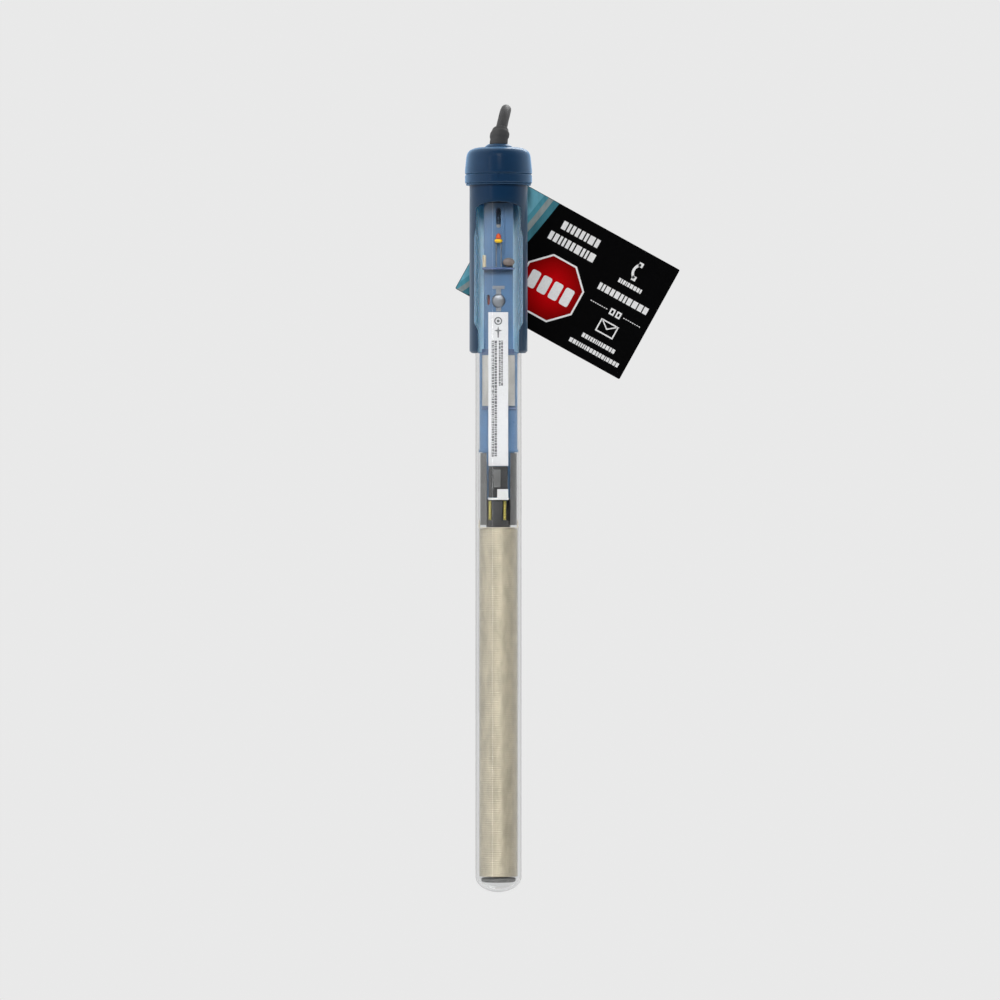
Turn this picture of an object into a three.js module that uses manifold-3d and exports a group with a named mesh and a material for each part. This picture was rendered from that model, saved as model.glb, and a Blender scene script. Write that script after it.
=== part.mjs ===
// A submersible aquarium heater: a glass tube hung upright by a bracket that grips it, with a turning
// temperature cap on top, the thermostat and heating element inside, and a mains cord that arches over
// behind it and ends in a tied hank and a plug.
//
// Millimetres. +Z runs up the heater's axis and the window faces -Y. The origin is on the axis, halfway
// up the bare glass, where the holding bracket grips.

import * as THREE from 'three';
import { mergeVertices } from 'three/addons/utils/BufferGeometryUtils.js';
import Module from 'manifold-3d';

const wasm = await Module();
wasm.setup();

// ---------------------------------------------------------------- driving dimensions
const GAP = 0.3;                      // clearance between pieces that touch
const ROUND = 40;                     // segments of a large round piece
const SMALL_ROUND = 16;               // segments of a small one

const TIP_Z = -135;                   // lowest point of the glass
const DOME_DEPTH = 8;
const GLASS_R = 11.5;
const GLASS_WALL = 1.2;
const GLASS_TOP = 217;
const BORE_R = GLASS_R - GLASS_WALL;

const HOOD_R = 14.5;
const HOOD_INNER_R = 12;
const HOOD_TOP = 221;
const HOOD_BOTTOM = 134.5;
const WINDOW_TOP = 209.8;
const WINDOW_HALF = { top: 11.3, middle: 12.2, foot: 10.3 };

const CAP_R = 16.75;
const CROWN_R = CAP_R - 0.6;
const CAP_TOP = 237;
const CAP_BOTTOM = 223.8;             // the groove between the cap and the ring below it
const CAP_WALL = 1.65;
const SKIRT_INNER_R = 14.85;
const SKIRT_OUTER_R = 15.4;
const RING_TOP = 223.5;
const RING_BOTTOM = 219.2;

const BOSS_R = 4.4;                   // fixed tube in the cap's centre, round the cord
const BOSS_BORE_R = 3.2;
const BOSS_TOP = 238.4;
const PLATE_TOP = 222.9;

const SPINDLE_Y = 7.8;                // how far the adjusting spindle stands behind the axis
const MODULE = 0.6;                   // gear tooth size
const RING_TEETH = 33;
const PINION_TEETH = 7;
const GEAR_Z = { low: 226.7, high: 230.3 };
const THREAD_PITCH = 1.25;

const CHASSIS_BACK = -0.4;            // the chassis panel lies between these two depths
const CHASSIS_FRONT = -2;
const CHASSIS_HALF = { upper: 7.2, lower: 9.3, tongue: 5.7 };
const CHASSIS_TOP = 209.4;
const FOOT_TOP = 86.2;
const RIVET_Z = 160.5;

const SHIELD = { outer: 9.1, inner: 8.3, top: 84.4, bottom: 48.5, opening: 5.7 };
const STEEL_PLATE = { half: 8, low: 108, high: 133.3 };
const WINDING = { outer: 9.6, inner: 8.2, top: 46.8, bottom: -127 };

const TAG = { width: 94.5, height: 63, thickness: 0.5, centre: [34.7, 172], tilt: -29, front: 16.3 };

const CORD_R = 2.6;
const CORD_PITCH = 5.3;               // distance between neighbouring turns of the hank
const HANK = { frontY: 22.4, z: 22, halfRun: 46, innerR: 15.7, waist: 2.7 };
const TIE_HEIGHT = 9;

// The cord leaves the strain relief leaning back, and turns over in one arch behind the cap.
const BOOT = { base: BOSS_TOP + 0.5, length: 7.6, lean: 35, side: 0.12 };
const ARCH = { straight: 3, radius: 21.2, side: 3.3, sideStart: 0.5 };

// ---------------------------------------------------------------- solids from geometry
// Merges shared corners, drops collapsed faces and returns a solid with its faces pointing out.
function solid(geometry) {
  const bare = geometry.clone();
  bare.deleteAttribute('normal');
  bare.deleteAttribute('uv');
  const merged = mergeVertices(bare, 1e-4);
  const corner = merged.index.array;
  const faces = [];
  for (let i = 0; i < corner.length; i += 3) {
    const [a, b, c] = [corner[i], corner[i + 1], corner[i + 2]];
    if (a !== b && b !== c && c !== a) faces.push(a, b, c);
  }
  const mesh = (order) => new wasm.Manifold(new wasm.Mesh({
    numProp: 3,
    vertProperties: new Float32Array(merged.attributes.position.array),
    triVerts: new Uint32Array(order),
  }));
  const body = mesh(faces);
  return body.volume() > 0 ? body : mesh(faces.reverse());
}

function geometryOf(body) {
  const { vertProperties, triVerts, numProp } = body.getMesh();
  const place = new Float32Array((vertProperties.length / numProp) * 3);
  for (let i = 0; i < place.length / 3; i += 1) {
    for (let k = 0; k < 3; k += 1) place[i * 3 + k] = vertProperties[i * numProp + k];
  }
  const geometry = new THREE.BufferGeometry();
  geometry.setAttribute('position', new THREE.BufferAttribute(place, 3));
  geometry.setIndex(new THREE.BufferAttribute(new Uint32Array(triVerts), 1));
  return geometry;
}

const join = (first, ...others) => others.reduce((all, one) => all.add(one), first);
const cut = (first, ...others) => others.reduce((left, one) => left.subtract(one), first);

// ---------------------------------------------------------------- shape helpers
// A turned piece: its outline is a list of [radius, height] and turns round the Z axis.
function turned(outline, segments = ROUND) {
  const points = outline.map(([r, z]) => new THREE.Vector2(r, z));
  return solid(new THREE.LatheGeometry(points, segments).rotateX(Math.PI / 2));
}

// A turned ring or bush between two radii, its outline closed on itself.
function ring(inner, outer, low, high, segments = ROUND) {
  return turned([[inner, low], [outer, low], [outer, high], [inner, high], [inner, low]], segments);
}

function disc(radius, low, high, segments = ROUND) {
  return turned([[0, low], [radius, low], [radius, high], [0, high]], segments);
}

// A small disc or rod whose axis is moved to [x, y].
function rod(x, y, radius, low, high, segments = SMALL_ROUND) {
  return disc(radius, low, high, segments).translate([x, y, 0]);
}

// A disc or button whose axis lies along Y, between two depths.
function button(x, z, radius, front, back, segments = SMALL_ROUND) {
  const geometry = new THREE.CylinderGeometry(radius, radius, back - front, segments);
  geometry.translate(x, (front + back) / 2, z);
  return solid(geometry);
}

// A torus round an axis at [x, y].
function ringOfRubber(x, y, z, radius, thickness, segments = 20) {
  return solid(new THREE.TorusGeometry(radius, thickness, 8, segments)).translate([x, y, z]);
}

function box([x0, x1], [y0, y1], [z0, z1]) {
  const geometry = new THREE.BoxGeometry(x1 - x0, y1 - y0, z1 - z0);
  geometry.translate((x0 + x1) / 2, (y0 + y1) / 2, (z0 + z1) / 2);
  return solid(geometry);
}

// A flat outline in the XZ plane, given as a THREE.Shape with z for y, thickened from front to back.
function panel(shape, front, back, curveSegments = 12) {
  const geometry = new THREE.ExtrudeGeometry(shape, {
    depth: back - front,
    bevelEnabled: false,
    curveSegments,
  });
  geometry.rotateX(Math.PI / 2);
  geometry.translate(0, back, 0);
  return solid(geometry);
}

function outline(points) {
  return new THREE.Shape(points.map(([x, z]) => new THREE.Vector2(x, z)));
}

// A round section swept along a smooth line through the points given.
function tube(points, radius, sides, steps) {
  const line = new THREE.CatmullRomCurve3(points.map((p) => new THREE.Vector3(...p)), false, 'centripetal');
  const section = new THREE.Shape();
  section.absarc(0, 0, radius, 0, Math.PI * 2, false);
  return solid(new THREE.ExtrudeGeometry(section, {
    extrudePath: line,
    steps,
    curveSegments: sides / 2,          // a full circle takes two points for each curve segment
    bevelEnabled: false,
  }));
}

// ---------------------------------------------------------------- the finished pieces
const heater = new THREE.Group();

function place(name, body, color, roughness = 0.5, metalness = 0, opacity = 1) {
  const material = new THREE.MeshStandardMaterial({
    color,
    roughness,
    metalness,
    opacity,
    transparent: opacity < 1,
  });
  const mesh = new THREE.Mesh(geometryOf(body), material);
  mesh.name = name;
  heater.add(mesh);
}

const NAVY = 0x1c3a58;
const LIGHT_BLUE = 0x7f9fc0;
const CLIP_BLUE = 0x54688a;
const STEEL = 0xa9a9a4;
const BLACK = 0x2a2a2a;
const WHITE = 0xf2f2f2;
const BRASS = 0xb8964a;
const RUBBER = 0x4c4c4c;

// ---------------------------------------------------------------- glass and hood
function glassTube() {
  const arc = (radius, bottom, from, to, steps) => {
    const points = [];
    for (let i = 0; i <= steps; i += 1) {
      const angle = THREE.MathUtils.lerp(from, to, i / steps);
      const r = Math.abs(radius * Math.sin(angle));
      points.push([r < 1e-6 ? 0 : r, TIP_Z + DOME_DEPTH - bottom * Math.cos(angle)]);
    }
    return points;
  };
  return turned([
    ...arc(GLASS_R, DOME_DEPTH, 0, Math.PI / 2, 7),
    [GLASS_R, GLASS_TOP],
    [BORE_R, GLASS_TOP],
    ...arc(BORE_R, DOME_DEPTH - GLASS_WALL, Math.PI / 2, 0, 7),
  ], ROUND);
}

// The window is cut through the front half only, so the back wall of the hood stays whole.
function hoodWindow() {
  const { top, middle, foot } = WINDOW_HALF;
  const shape = new THREE.Shape();
  const low = HOOD_BOTTOM - 5;
  const shoulder = WINDOW_TOP - 4;
  shape.moveTo(foot, low);
  shape.lineTo(foot, HOOD_BOTTOM + 11);
  shape.lineTo(middle, HOOD_BOTTOM + 15);
  shape.lineTo(middle, HOOD_BOTTOM + 58);
  shape.lineTo(top, HOOD_BOTTOM + 62);
  shape.lineTo(top, shoulder);
  shape.absellipse(0, shoulder, top, WINDOW_TOP - shoulder, 0, Math.PI, false);
  shape.lineTo(-top, HOOD_BOTTOM + 62);
  shape.lineTo(-middle, HOOD_BOTTOM + 58);
  shape.lineTo(-middle, HOOD_BOTTOM + 15);
  shape.lineTo(-foot, HOOD_BOTTOM + 11);
  shape.lineTo(-foot, low);
  return panel(shape, -HOOD_R - 5, 0, 18);
}

function hood() {
  const edge = 1;
  const shell = turned([
    [HOOD_INNER_R, HOOD_BOTTOM + edge],
    [HOOD_INNER_R + edge, HOOD_BOTTOM],
    [HOOD_R - edge, HOOD_BOTTOM],
    [HOOD_R, HOOD_BOTTOM + edge],
    [HOOD_R, HOOD_TOP],
    [HOOD_INNER_R, HOOD_TOP],
    [HOOD_INNER_R, HOOD_BOTTOM + edge],
  ], ROUND);
  return cut(shell, hoodWindow());
}

// ---------------------------------------------------------------- cap, ring and bearing plate
const LUG = { inner: 13, outer: 14.4, low: 223.6, high: 225.3 };
const STOP_HALF_ANGLE = 14;           // degrees, on the plate
const LUG_HALF_ANGLE = 30;            // degrees, on the cap

// A block that fills part of a ring, centred on the given angle.
function ringSector(inner, outer, low, high, centre, half) {
  const shape = new THREE.Shape();
  const from = THREE.MathUtils.degToRad(centre - half);
  const to = THREE.MathUtils.degToRad(centre + half);
  shape.absarc(0, 0, outer, from, to, false);
  shape.absarc(0, 0, inner, to, from, true);
  const settings = { depth: high - low, bevelEnabled: false, curveSegments: 6 };
  const geometry = new THREE.ExtrudeGeometry(shape, settings);
  geometry.translate(0, 0, low);
  return solid(geometry);
}

function adjustingCap() {
  const inner = CAP_R - CAP_WALL;
  const shell = turned([
    [BOSS_R + 0.4, CAP_TOP - 2],
    [inner - 2.2, CAP_TOP - 2],
    [inner - 0.5, CAP_TOP - 4.4],
    [inner, CAP_BOTTOM + 1.8],
    [SKIRT_INNER_R, CAP_BOTTOM + 1.8],
    [SKIRT_INNER_R, RING_BOTTOM - 0.9],
    [16.3, RING_BOTTOM - 0.9],
    [16.3, RING_BOTTOM - GAP],
    [SKIRT_OUTER_R, RING_BOTTOM - GAP],
    [SKIRT_OUTER_R, CAP_BOTTOM],
    [CAP_R - 0.35, CAP_BOTTOM],
    [CAP_R, CAP_BOTTOM + 0.4],
    [CAP_R, CAP_BOTTOM + 2],
    [CROWN_R, CAP_TOP - 5],
    [CROWN_R - 0.25, CAP_TOP - 3.6],
    [CROWN_R - 0.8, CAP_TOP - 2.3],
    [CROWN_R - 1.8, CAP_TOP - 1.2],
    [CROWN_R - 3.9, CAP_TOP - 0.3],
    [CROWN_R - 5.4, CAP_TOP],
    [BOSS_R + 0.4, CAP_TOP],
    [BOSS_R + 0.4, CAP_TOP - 2],
  ], ROUND);
  const lug = ringSector(LUG.inner, SKIRT_INNER_R + 0.3, LUG.low, LUG.high, -90, LUG_HALF_ANGLE);
  return join(shell, lug);
}

function calibrationRing() {
  const inner = SKIRT_OUTER_R + GAP;
  const band = turned([
    [inner, RING_BOTTOM],
    [CAP_R - 0.3, RING_BOTTOM],
    [CAP_R, RING_BOTTOM + 0.4],
    [CAP_R, RING_TOP - 0.4],
    [CAP_R - 0.3, RING_TOP],
    [inner, RING_TOP],
    [inner, RING_BOTTOM],
  ], ROUND);
  return cut(band, box([-0.5, 0.5], [-CAP_R - 1, -CAP_R + 0.4], [RING_BOTTOM + 2.2, RING_TOP + 1]));
}

function bearingPlate() {
  const spigot = HOOD_INNER_R - GAP;
  const body = turned([
    [BOSS_BORE_R, 219.3],
    [spigot, 219.3],
    [spigot, HOOD_TOP + GAP],
    [HOOD_R - 0.1, HOOD_TOP + GAP],
    [HOOD_R - 0.1, PLATE_TOP],
    [BOSS_R, PLATE_TOP],
    [BOSS_R, BOSS_TOP],
    [BOSS_BORE_R, BOSS_TOP],
    [BOSS_BORE_R, 219.3],
  ]);
  const stop = ringSector(LUG.inner, LUG.outer, PLATE_TOP - 0.5, LUG.high - 0.2, 90, STOP_HALF_ANGLE);
  const sealPocket = rod(0, SPINDLE_Y, 2.5, 218, 221.6);
  const spindleHole = rod(0, SPINDLE_Y, 1.45, 218, 225);
  return cut(join(body, stop), sealPocket, spindleHole);
}

// ---------------------------------------------------------------- gears and setting mechanism
// The outline of a gear: every tooth is a trapezium between the root and tip radii.
function gearOutline(teeth, rootR, tipR, rootHalf, tipHalf, phase) {
  const points = [];
  for (let i = 0; i < teeth; i += 1) {
    const centre = phase + (i * Math.PI * 2) / teeth;
    const flanks = [[rootR, -rootHalf], [tipR, -tipHalf], [tipR, tipHalf], [rootR, rootHalf]];
    for (const [radius, offset] of flanks) {
      points.push([radius * Math.cos(centre + offset), radius * Math.sin(centre + offset)]);
    }
  }
  return points;
}

function gearPrism(points, low, high, holeR = 0) {
  const shape = new THREE.Shape(points.map(([x, y]) => new THREE.Vector2(x, y)));
  if (holeR) shape.holes.push(new THREE.Path().absarc(0, 0, holeR, 0, Math.PI * 2, true));
  const geometry = new THREE.ExtrudeGeometry(shape, { depth: high - low, bevelEnabled: false });
  geometry.translate(0, 0, low);
  return solid(geometry);
}

const RING_PITCH_R = (RING_TEETH * MODULE) / 2;
const PINION_PITCH_R = (PINION_TEETH * MODULE) / 2;
const TOOTH = { height: 0.42, ringRoot: 0.75, pinionRoot: 0.75 };

// Its teeth point inwards, so their tips are cut by the spaces between them.
function ringGear() {
  const step = Math.PI / RING_TEETH;
  const spaces = gearOutline(RING_TEETH, RING_PITCH_R - TOOTH.height, RING_PITCH_R + TOOTH.ringRoot,
    step * 0.76, step * 0.5, Math.PI / 2);
  const blank = disc(SKIRT_INNER_R - GAP, GEAR_Z.low - 0.2, GEAR_Z.high - 0.1);
  return cut(blank, gearPrism(spaces, GEAR_Z.low - 2, GEAR_Z.high + 2));
}

function adjustingSpindle() {
  const step = Math.PI / PINION_TEETH;
  const teeth = gearOutline(PINION_TEETH, PINION_PITCH_R - TOOTH.pinionRoot, PINION_PITCH_R + TOOTH.height,
    step * 0.62, step * 0.28, Math.PI / 2);
  const pinion = gearPrism(teeth, GEAR_Z.low, GEAR_Z.high).translate([0, SPINDLE_Y, 0]);
  const profile = [[0, 183.5], [1, 183.5]];
  for (let z = 184.5; z < 206; z += THREAD_PITCH) {
    profile.push([1, z], [1.45, z + THREAD_PITCH / 2]);
  }
  profile.push([1.1, 207.5], [1.1, GEAR_Z.high + 1], [0, GEAR_Z.high + 1]);
  return join(turned(profile, 12).translate([0, SPINDLE_Y, 0]), pinion);
}

function settingCarriage() {
  const nut = box([-3, 3], [5.4, 9.3], [191, 199]);
  const arm = box([-1.2, 1.2], [0.2, 5.6], [192, 196]);
  const finger = panel(outline([[-1.2, 173.5], [1.2, 173.5], [1.2, 192.5], [-1.2, 192.5]]), 4.2, 5.7);
  const nose = box([-1.2, 1.2], [3.95, 5.5], [173.5, 175.5]);
  const thread = rod(0, SPINDLE_Y, 1.75, 180, 210);
  const fingerClearance = box([-2, 2], [5.8, 12], [180, 190.9]);
  return cut(join(nut, arm, finger, nose), thread, fingerClearance);
}

// ---------------------------------------------------------------- chassis and what it carries
function chassis() {
  const { upper, lower, tongue } = CHASSIS_HALF;
  const front = panel(outline([
    [-tongue, 61.4], [tongue, 61.4], [tongue, 73.5], [8.2, FOOT_TOP], [lower, FOOT_TOP],
    [lower, HOOD_BOTTOM], [upper, HOOD_BOTTOM + 1], [upper, CHASSIS_TOP], [-upper, CHASSIS_TOP],
    [-upper, HOOD_BOTTOM + 1], [-lower, HOOD_BOTTOM], [-lower, FOOT_TOP], [-8.2, FOOT_TOP], [-tongue, 73.5],
  ]), CHASSIS_FRONT, CHASSIS_BACK);
  const foot = cut(disc(9.95, FOOT_TOP - 1.4, FOOT_TOP), box([-12, 12], [-12, -2.6], [80, 90]));
  const walls = [];
  for (const side of [-1, 1]) {
    const span = (near, far) => [Math.min(side * near, side * far), Math.max(side * near, side * far)];
    walls.push(
      box(span(lower - 1.2, lower), [-1, 3.2], [FOOT_TOP - 1, HOOD_BOTTOM]),
      box(span(upper - 1.1, upper), [-1, 2.6], [HOOD_BOTTOM - 3, CHASSIS_TOP]),
      box(span(1.6, 2.5), [-1, 1.7], [182, 205]),
    );
  }
  const rivetHole = button(0, RIVET_Z, 1.6, -4, 1);
  const wireHole = rod(5.4, 1.6, 1.2, 80, 90, 12);
  const spindleSlot = slot(0, 1.2, 197, 207);
  const wireSlot = slot(-5, 0.8, 158.5, 163.5);
  const ribGroove = box([2.7, 3.2], [CHASSIS_FRONT - 1, CHASSIS_FRONT + 0.5], [183, 208]);
  return cut(join(front, foot, ...walls), rivetHole, wireHole, spindleSlot, wireSlot, ribGroove);
}

// A slot through the chassis with round ends.
function slot(x, half, low, high) {
  const [front, back] = [CHASSIS_FRONT - 1, CHASSIS_BACK + 1];
  return join(
    box([x - half, x + half], [front, back], [low + half, high - half]),
    button(x, low + half, half, front, back),
    button(x, high - half, half, front, back),
  );
}

// Two bars grip the steel plate's upper and lower edges.
function plateClips() {
  const front = CHASSIS_FRONT - 0.95;
  const back = CHASSIS_FRONT - 0.05;
  const upper = [STEEL_PLATE.high + 0.4, STEEL_PLATE.high + 3.1];
  const lower = [STEEL_PLATE.low - 1.9, STEEL_PLATE.low - 0.4];
  place('plate_clip_upper', box([-8.2, 7.7], [front, back], upper), CLIP_BLUE, 0.4);
  place('plate_clip_lower', box([-8.2, 8.8], [front, back], lower), CLIP_BLUE, 0.4);
}

// A thin strap that lies under the rivet's head, with a crosspiece at its top.
function rivetStrap() {
  const front = CHASSIS_FRONT - 0.25;
  const back = CHASSIS_FRONT - 0.05;
  const strap = join(
    box([-1.3, 1.3], [front, back], [155.3, 168]),
    box([-3, 3], [front, back], [166.4, 168]),
    button(0, RIVET_Z, 2.6, front, back),
  );
  return cut(strap, button(0, RIVET_Z, 1.5, front - 1, back + 1));
}

// A domed head in front, a shank through the chassis and the base, and a clinched head behind.
function rivet() {
  const dome = turned([[0, 0], [3.4, 0], [3.3, 0.5], [2.7, 1], [1.6, 1.3], [0, 1.4]], 28)
    .rotate([90, 0, 0])
    .translate([0, CHASSIS_FRONT - GAP, RIVET_Z]);
  const shank = button(0, RIVET_Z, 1.2, CHASSIS_FRONT - 0.5, 4.6);
  const tail = button(0, RIVET_Z, 2.1, 3.75, 4.6);
  return join(dome, shank, tail);
}

function bimetalArm() {
  const strip = box([-2.6, 2.6], [3, 3.4], [115, 176.5]);
  const narrow = 1.8;
  const waists = [
    box([narrow, 4], [2, 5], [166, 180]),
    box([-4, -narrow], [2, 5], [166, 180]),
  ];
  return cut(strip, button(0, RIVET_Z, 1.6, 2, 5), ...waists);
}

function bimetalBase() {
  return cut(box([-3.4, 3.4], [-0.1, 2.7], [156.5, 165]), button(0, RIVET_Z, 1.5, -2, 4));
}

function fixedContact() {
  return join(box([-2, 2], [-0.1, 0.3], [113, 127]), button(0, 119, 1.5, 0, 1.5));
}

function heatShield() {
  const { outer, inner, top, bottom, opening } = SHIELD;
  return cut(ring(inner, outer, bottom, top), box([-opening, opening], [-12, 0], [bottom - 2, top + 2]));
}

// ---------------------------------------------------------------- lamp
function lampParts() {
  const depth = -4.6;
  const bulb = turned([[0, 191.5], [1.25, 191.5], [1.3, 192.4], [1, 193.3], [0.5, 193.9], [0, 194.1]], 24);
  const base = turned([[0, 189.3], [1.2, 189.3], [2, 190], [2, 190.9], [1.3, 191.2], [0, 191.2]], 24);
  place('lamp_bulb', bulb.translate([0, depth, 0]), 0xe0502a, 0.3);
  place('lamp_base', base.translate([0, depth, 0]), 0xe0b020, 0.4);
  for (const [name, x] of [['lamp_lead_left', -1.1], ['lamp_lead_right', 1.3]]) {
    place(name, rod(x, depth, 0.3, 177.3, 189, 8), STEEL, 0.35, 1);
  }
  place('lamp_board', box([-7.7, 7.7], [-6.8, -2.4], [176, 177]), 0x33466a, 0.6);
  place('lamp_resistor', rod(-6.9, depth, 0.85, 177.3, 183.2, 12), 0xb8a98a, 0.6);
  const lump = new THREE.SphereGeometry(1, 16, 10);
  lump.scale(2.9, 1.5, 2.2);
  lump.translate(4.9, depth, 179.7);
  place('lamp_capacitor', solid(lump), 0x6b5f58, 0.5);
}

// ---------------------------------------------------------------- fuse and heating element
function fuseParts() {
  place('thermal_fuse', box([-4.7, 4.5], [-6.6, -2.9], [62.4, 77.7]), BLACK, 0.35);
  place('fuse_bar', box([-2.5, 1], [-7.4, -6.9], [67.2, 76.2]), 0x8a8a8a, 0.45, 0.6);
  const clip = join(
    box([-5, 5], [-7.6, -2.5], [61, 62.1]),
    box([-0.6, 4.7], [-7.6, -6.9], [61.5, 66.4]),
  );
  place('fuse_clip', clip, WHITE, 0.5);
  const block = join(
    box([-3.2, 2], [-6.4, -2.6], [49, 60.7]),
    box([-5.2, 4.9], [-6.4, 2.4], [47.5, 50.8]),
  );
  place('lead_block', block, BLACK, 0.4);
  for (const [name, x] of [['element_lead_left', -4.25], ['element_lead_right', 3.05]]) {
    place(name, rod(x, -4.4, 0.72, 51.1, 60.7, 12), 0xc9b73e, 0.6);
  }
}

function ceramicFormer() {
  const holes = [];
  for (let i = 0; i < 4; i += 1) {
    const angle = Math.PI / 4 + (i * Math.PI) / 2;
    holes.push(rod(4.6 * Math.cos(angle), 4.6 * Math.sin(angle), 1.4, -130, 50, 12));
  }
  const low = WINDING.top + 0.2;
  const flange = disc(BORE_R - 0.3, low, low + 0.35);
  const lugs = [-1, 1].map((side) => {
    const [near, far] = [side * 9.35, side * (BORE_R - 0.35)];
    return box([Math.min(near, far), Math.max(near, far)], [-1, 1], [low, low + 4]);
  });
  const core = disc(WINDING.inner - GAP, WINDING.bottom, low + 0.1);
  return cut(join(core, flange, ...lugs), rod(0, 0, 1.8, -130, 50), ...holes);
}

// ---------------------------------------------------------------- hang tag
// The card lies in an upright plane behind the hood, turned about its own centre.
function hangTag() {
  const { width, height, thickness, centre, tilt, front } = TAG;
  return box([-width / 2, width / 2], [front, front + thickness], [-height / 2, height / 2])
    .rotate([0, -tilt, 0])
    .translate([centre[0], 0, centre[1]]);
}

// ---------------------------------------------------------------- cord, hank and plug
const HANK_OUTER_R = HANK.innerR + CORD_PITCH;
const HANK_Y = HANK.frontY + HANK_OUTER_R;               // the hank's middle, behind the heater
const LEG_Y = HANK_Y + HANK_OUTER_R;                // the cord comes down its back run
const HANK_TOP = HANK.z + HANK.halfRun;
const HANK_LOW = HANK.z - HANK.halfRun;
const STUB = HANK_OUTER_R + CORD_R + 1;

// Above the boss the sleeve curves back, away from the window, and a little to the right.
const BOOT_LEAN = THREE.MathUtils.degToRad(BOOT.lean);
const BOOT_BEND_R = BOOT.length / BOOT_LEAN;
function bent([x, y, z]) {
  const above = Math.max(0, z - BOOT.base);
  const angle = above / BOOT_BEND_R;
  return [
    x + above * BOOT.side,
    BOOT_BEND_R * (1 - Math.cos(angle)) + y * Math.cos(angle),
    Math.min(z, BOOT.base) + (BOOT_BEND_R - y) * Math.sin(angle),
  ];
}

function strainRelief() {
  const { base, length } = BOOT;
  const sleeve = turned([
    [0, 224.2], [2.9, 224.2], [2.9, base - 0.3], [2.9, base], [4.6, base],
    [4.5, base + 2.7], [4.9, base + 3.6],
    [4.9, base + 5.4], [4.4, base + 6.2], [4.1, base + length], [0, base + length],
  ], 32);
  return sleeve.warp((v) => {
    [v[0], v[1], v[2]] = bent(v);
  });
}

// Out of the strain relief, over the arch, straight down behind the cap and across to the hank's back run.
function cordRoute() {
  const [exitX, exitY, exitZ] = bent([0, 0, BOOT.base + BOOT.length]);
  const out = (away) => [
    exitX + 0.2 * away, exitY + away * Math.sin(BOOT_LEAN), exitZ + away * Math.cos(BOOT_LEAN),
  ];
  const [, startY, startZ] = out(ARCH.straight);
  const centreY = startY + ARCH.radius * Math.cos(BOOT_LEAN);
  const centreZ = startZ - ARCH.radius * Math.sin(BOOT_LEAN);
  const points = [out(0.8)];
  for (const degrees of [35, 60, 85, 110, 135, 160, 180]) {
    const angle = THREE.MathUtils.degToRad(degrees);
    points.push([
      ARCH.sideStart + ARCH.side * Math.sin(angle) ** 2,
      centreY - ARCH.radius * Math.cos(angle),
      centreZ + ARCH.radius * Math.sin(angle),
    ]);
  }
  const dropY = centreY + ARCH.radius;
  for (const z of [215, 195, 175]) points.push([ARCH.sideStart, dropY, z]);
  const legEnd = HANK_TOP + STUB + GAP;
  const crossTop = 160;
  const crossEnd = legEnd + 6;
  for (let i = 0; i <= 6; i += 1) {
    const t = i / 6;
    const shift = t * t * (3 - 2 * t);
    points.push([
      ARCH.sideStart * (1 - t),
      dropY + (LEG_Y - dropY) * shift,
      crossTop + (crossEnd - crossTop) * t,
    ]);
  }
  points.push([0, LEG_Y, legEnd]);
  return points;
}

// Half the depth of a run of the hank: gathered at the tie, round at both ends.
function runDepth(z, endR, waist) {
  const along = Math.min(1, Math.abs(z - HANK.z) / HANK.halfRun);
  return waist + (endR - waist) * (0.5 - 0.5 * Math.cos(Math.PI * along));
}

function hankSolid() {
  const endR = HANK_OUTER_R + CORD_R;
  const waist = HANK.waist + CORD_PITCH + CORD_R;
  const shape = new THREE.Shape();
  const steps = 10;
  const points = [];
  for (let i = 0; i <= steps; i += 1) {
    const z = THREE.MathUtils.lerp(HANK_LOW, HANK_TOP, i / steps);
    points.push([runDepth(z, endR, waist), z]);
  }
  for (let i = 1; i < steps; i += 1) {
    const angle = (Math.PI * i) / steps;
    points.push([endR * Math.cos(angle), HANK_TOP + endR * Math.sin(angle)]);
  }
  for (let i = 0; i <= steps; i += 1) {
    const z = THREE.MathUtils.lerp(HANK_TOP, HANK_LOW, i / steps);
    points.push([-runDepth(z, endR, waist), z]);
  }
  for (let i = 1; i < steps; i += 1) {
    const angle = Math.PI + (Math.PI * i) / steps;
    points.push([endR * Math.cos(angle), HANK_LOW + endR * Math.sin(angle)]);
  }
  shape.setFromPoints(points.map(([y, z]) => new THREE.Vector2(y, z)));
  const half = CORD_PITCH + CORD_R;
  const geometry = new THREE.ExtrudeGeometry(shape, { depth: 2 * half, bevelEnabled: false });
  geometry.translate(0, 0, -half);
  geometry.rotateY(Math.PI / 2);
  geometry.rotateX(Math.PI / 2);
  const bundle = solid(geometry).translate([0, HANK_Y, 0]);
  const stubIn = rod(0, LEG_Y, CORD_R, HANK_TOP - 6, HANK_TOP + STUB, 10);
  const stubOut = rod(-CORD_PITCH, LEG_Y, CORD_R, HANK_LOW - STUB, HANK_LOW + 6, 10);
  return join(bundle, stubIn, stubOut);
}

function hankTie() {
  const deep = HANK.waist + CORD_PITCH + CORD_R + 1;
  const wide = CORD_PITCH + CORD_R + GAP;
  const [low, high] = [HANK.z - TIE_HEIGHT / 2, HANK.z + TIE_HEIGHT / 2];
  const outside = box([-wide - 1, wide + 1], [HANK_Y - deep - 1, HANK_Y + deep + 1], [low, high]);
  const inside = box([-wide, wide], [HANK_Y - deep, HANK_Y + deep], [low - 1, high + 1]);
  return cut(outside, inside);
}

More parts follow.
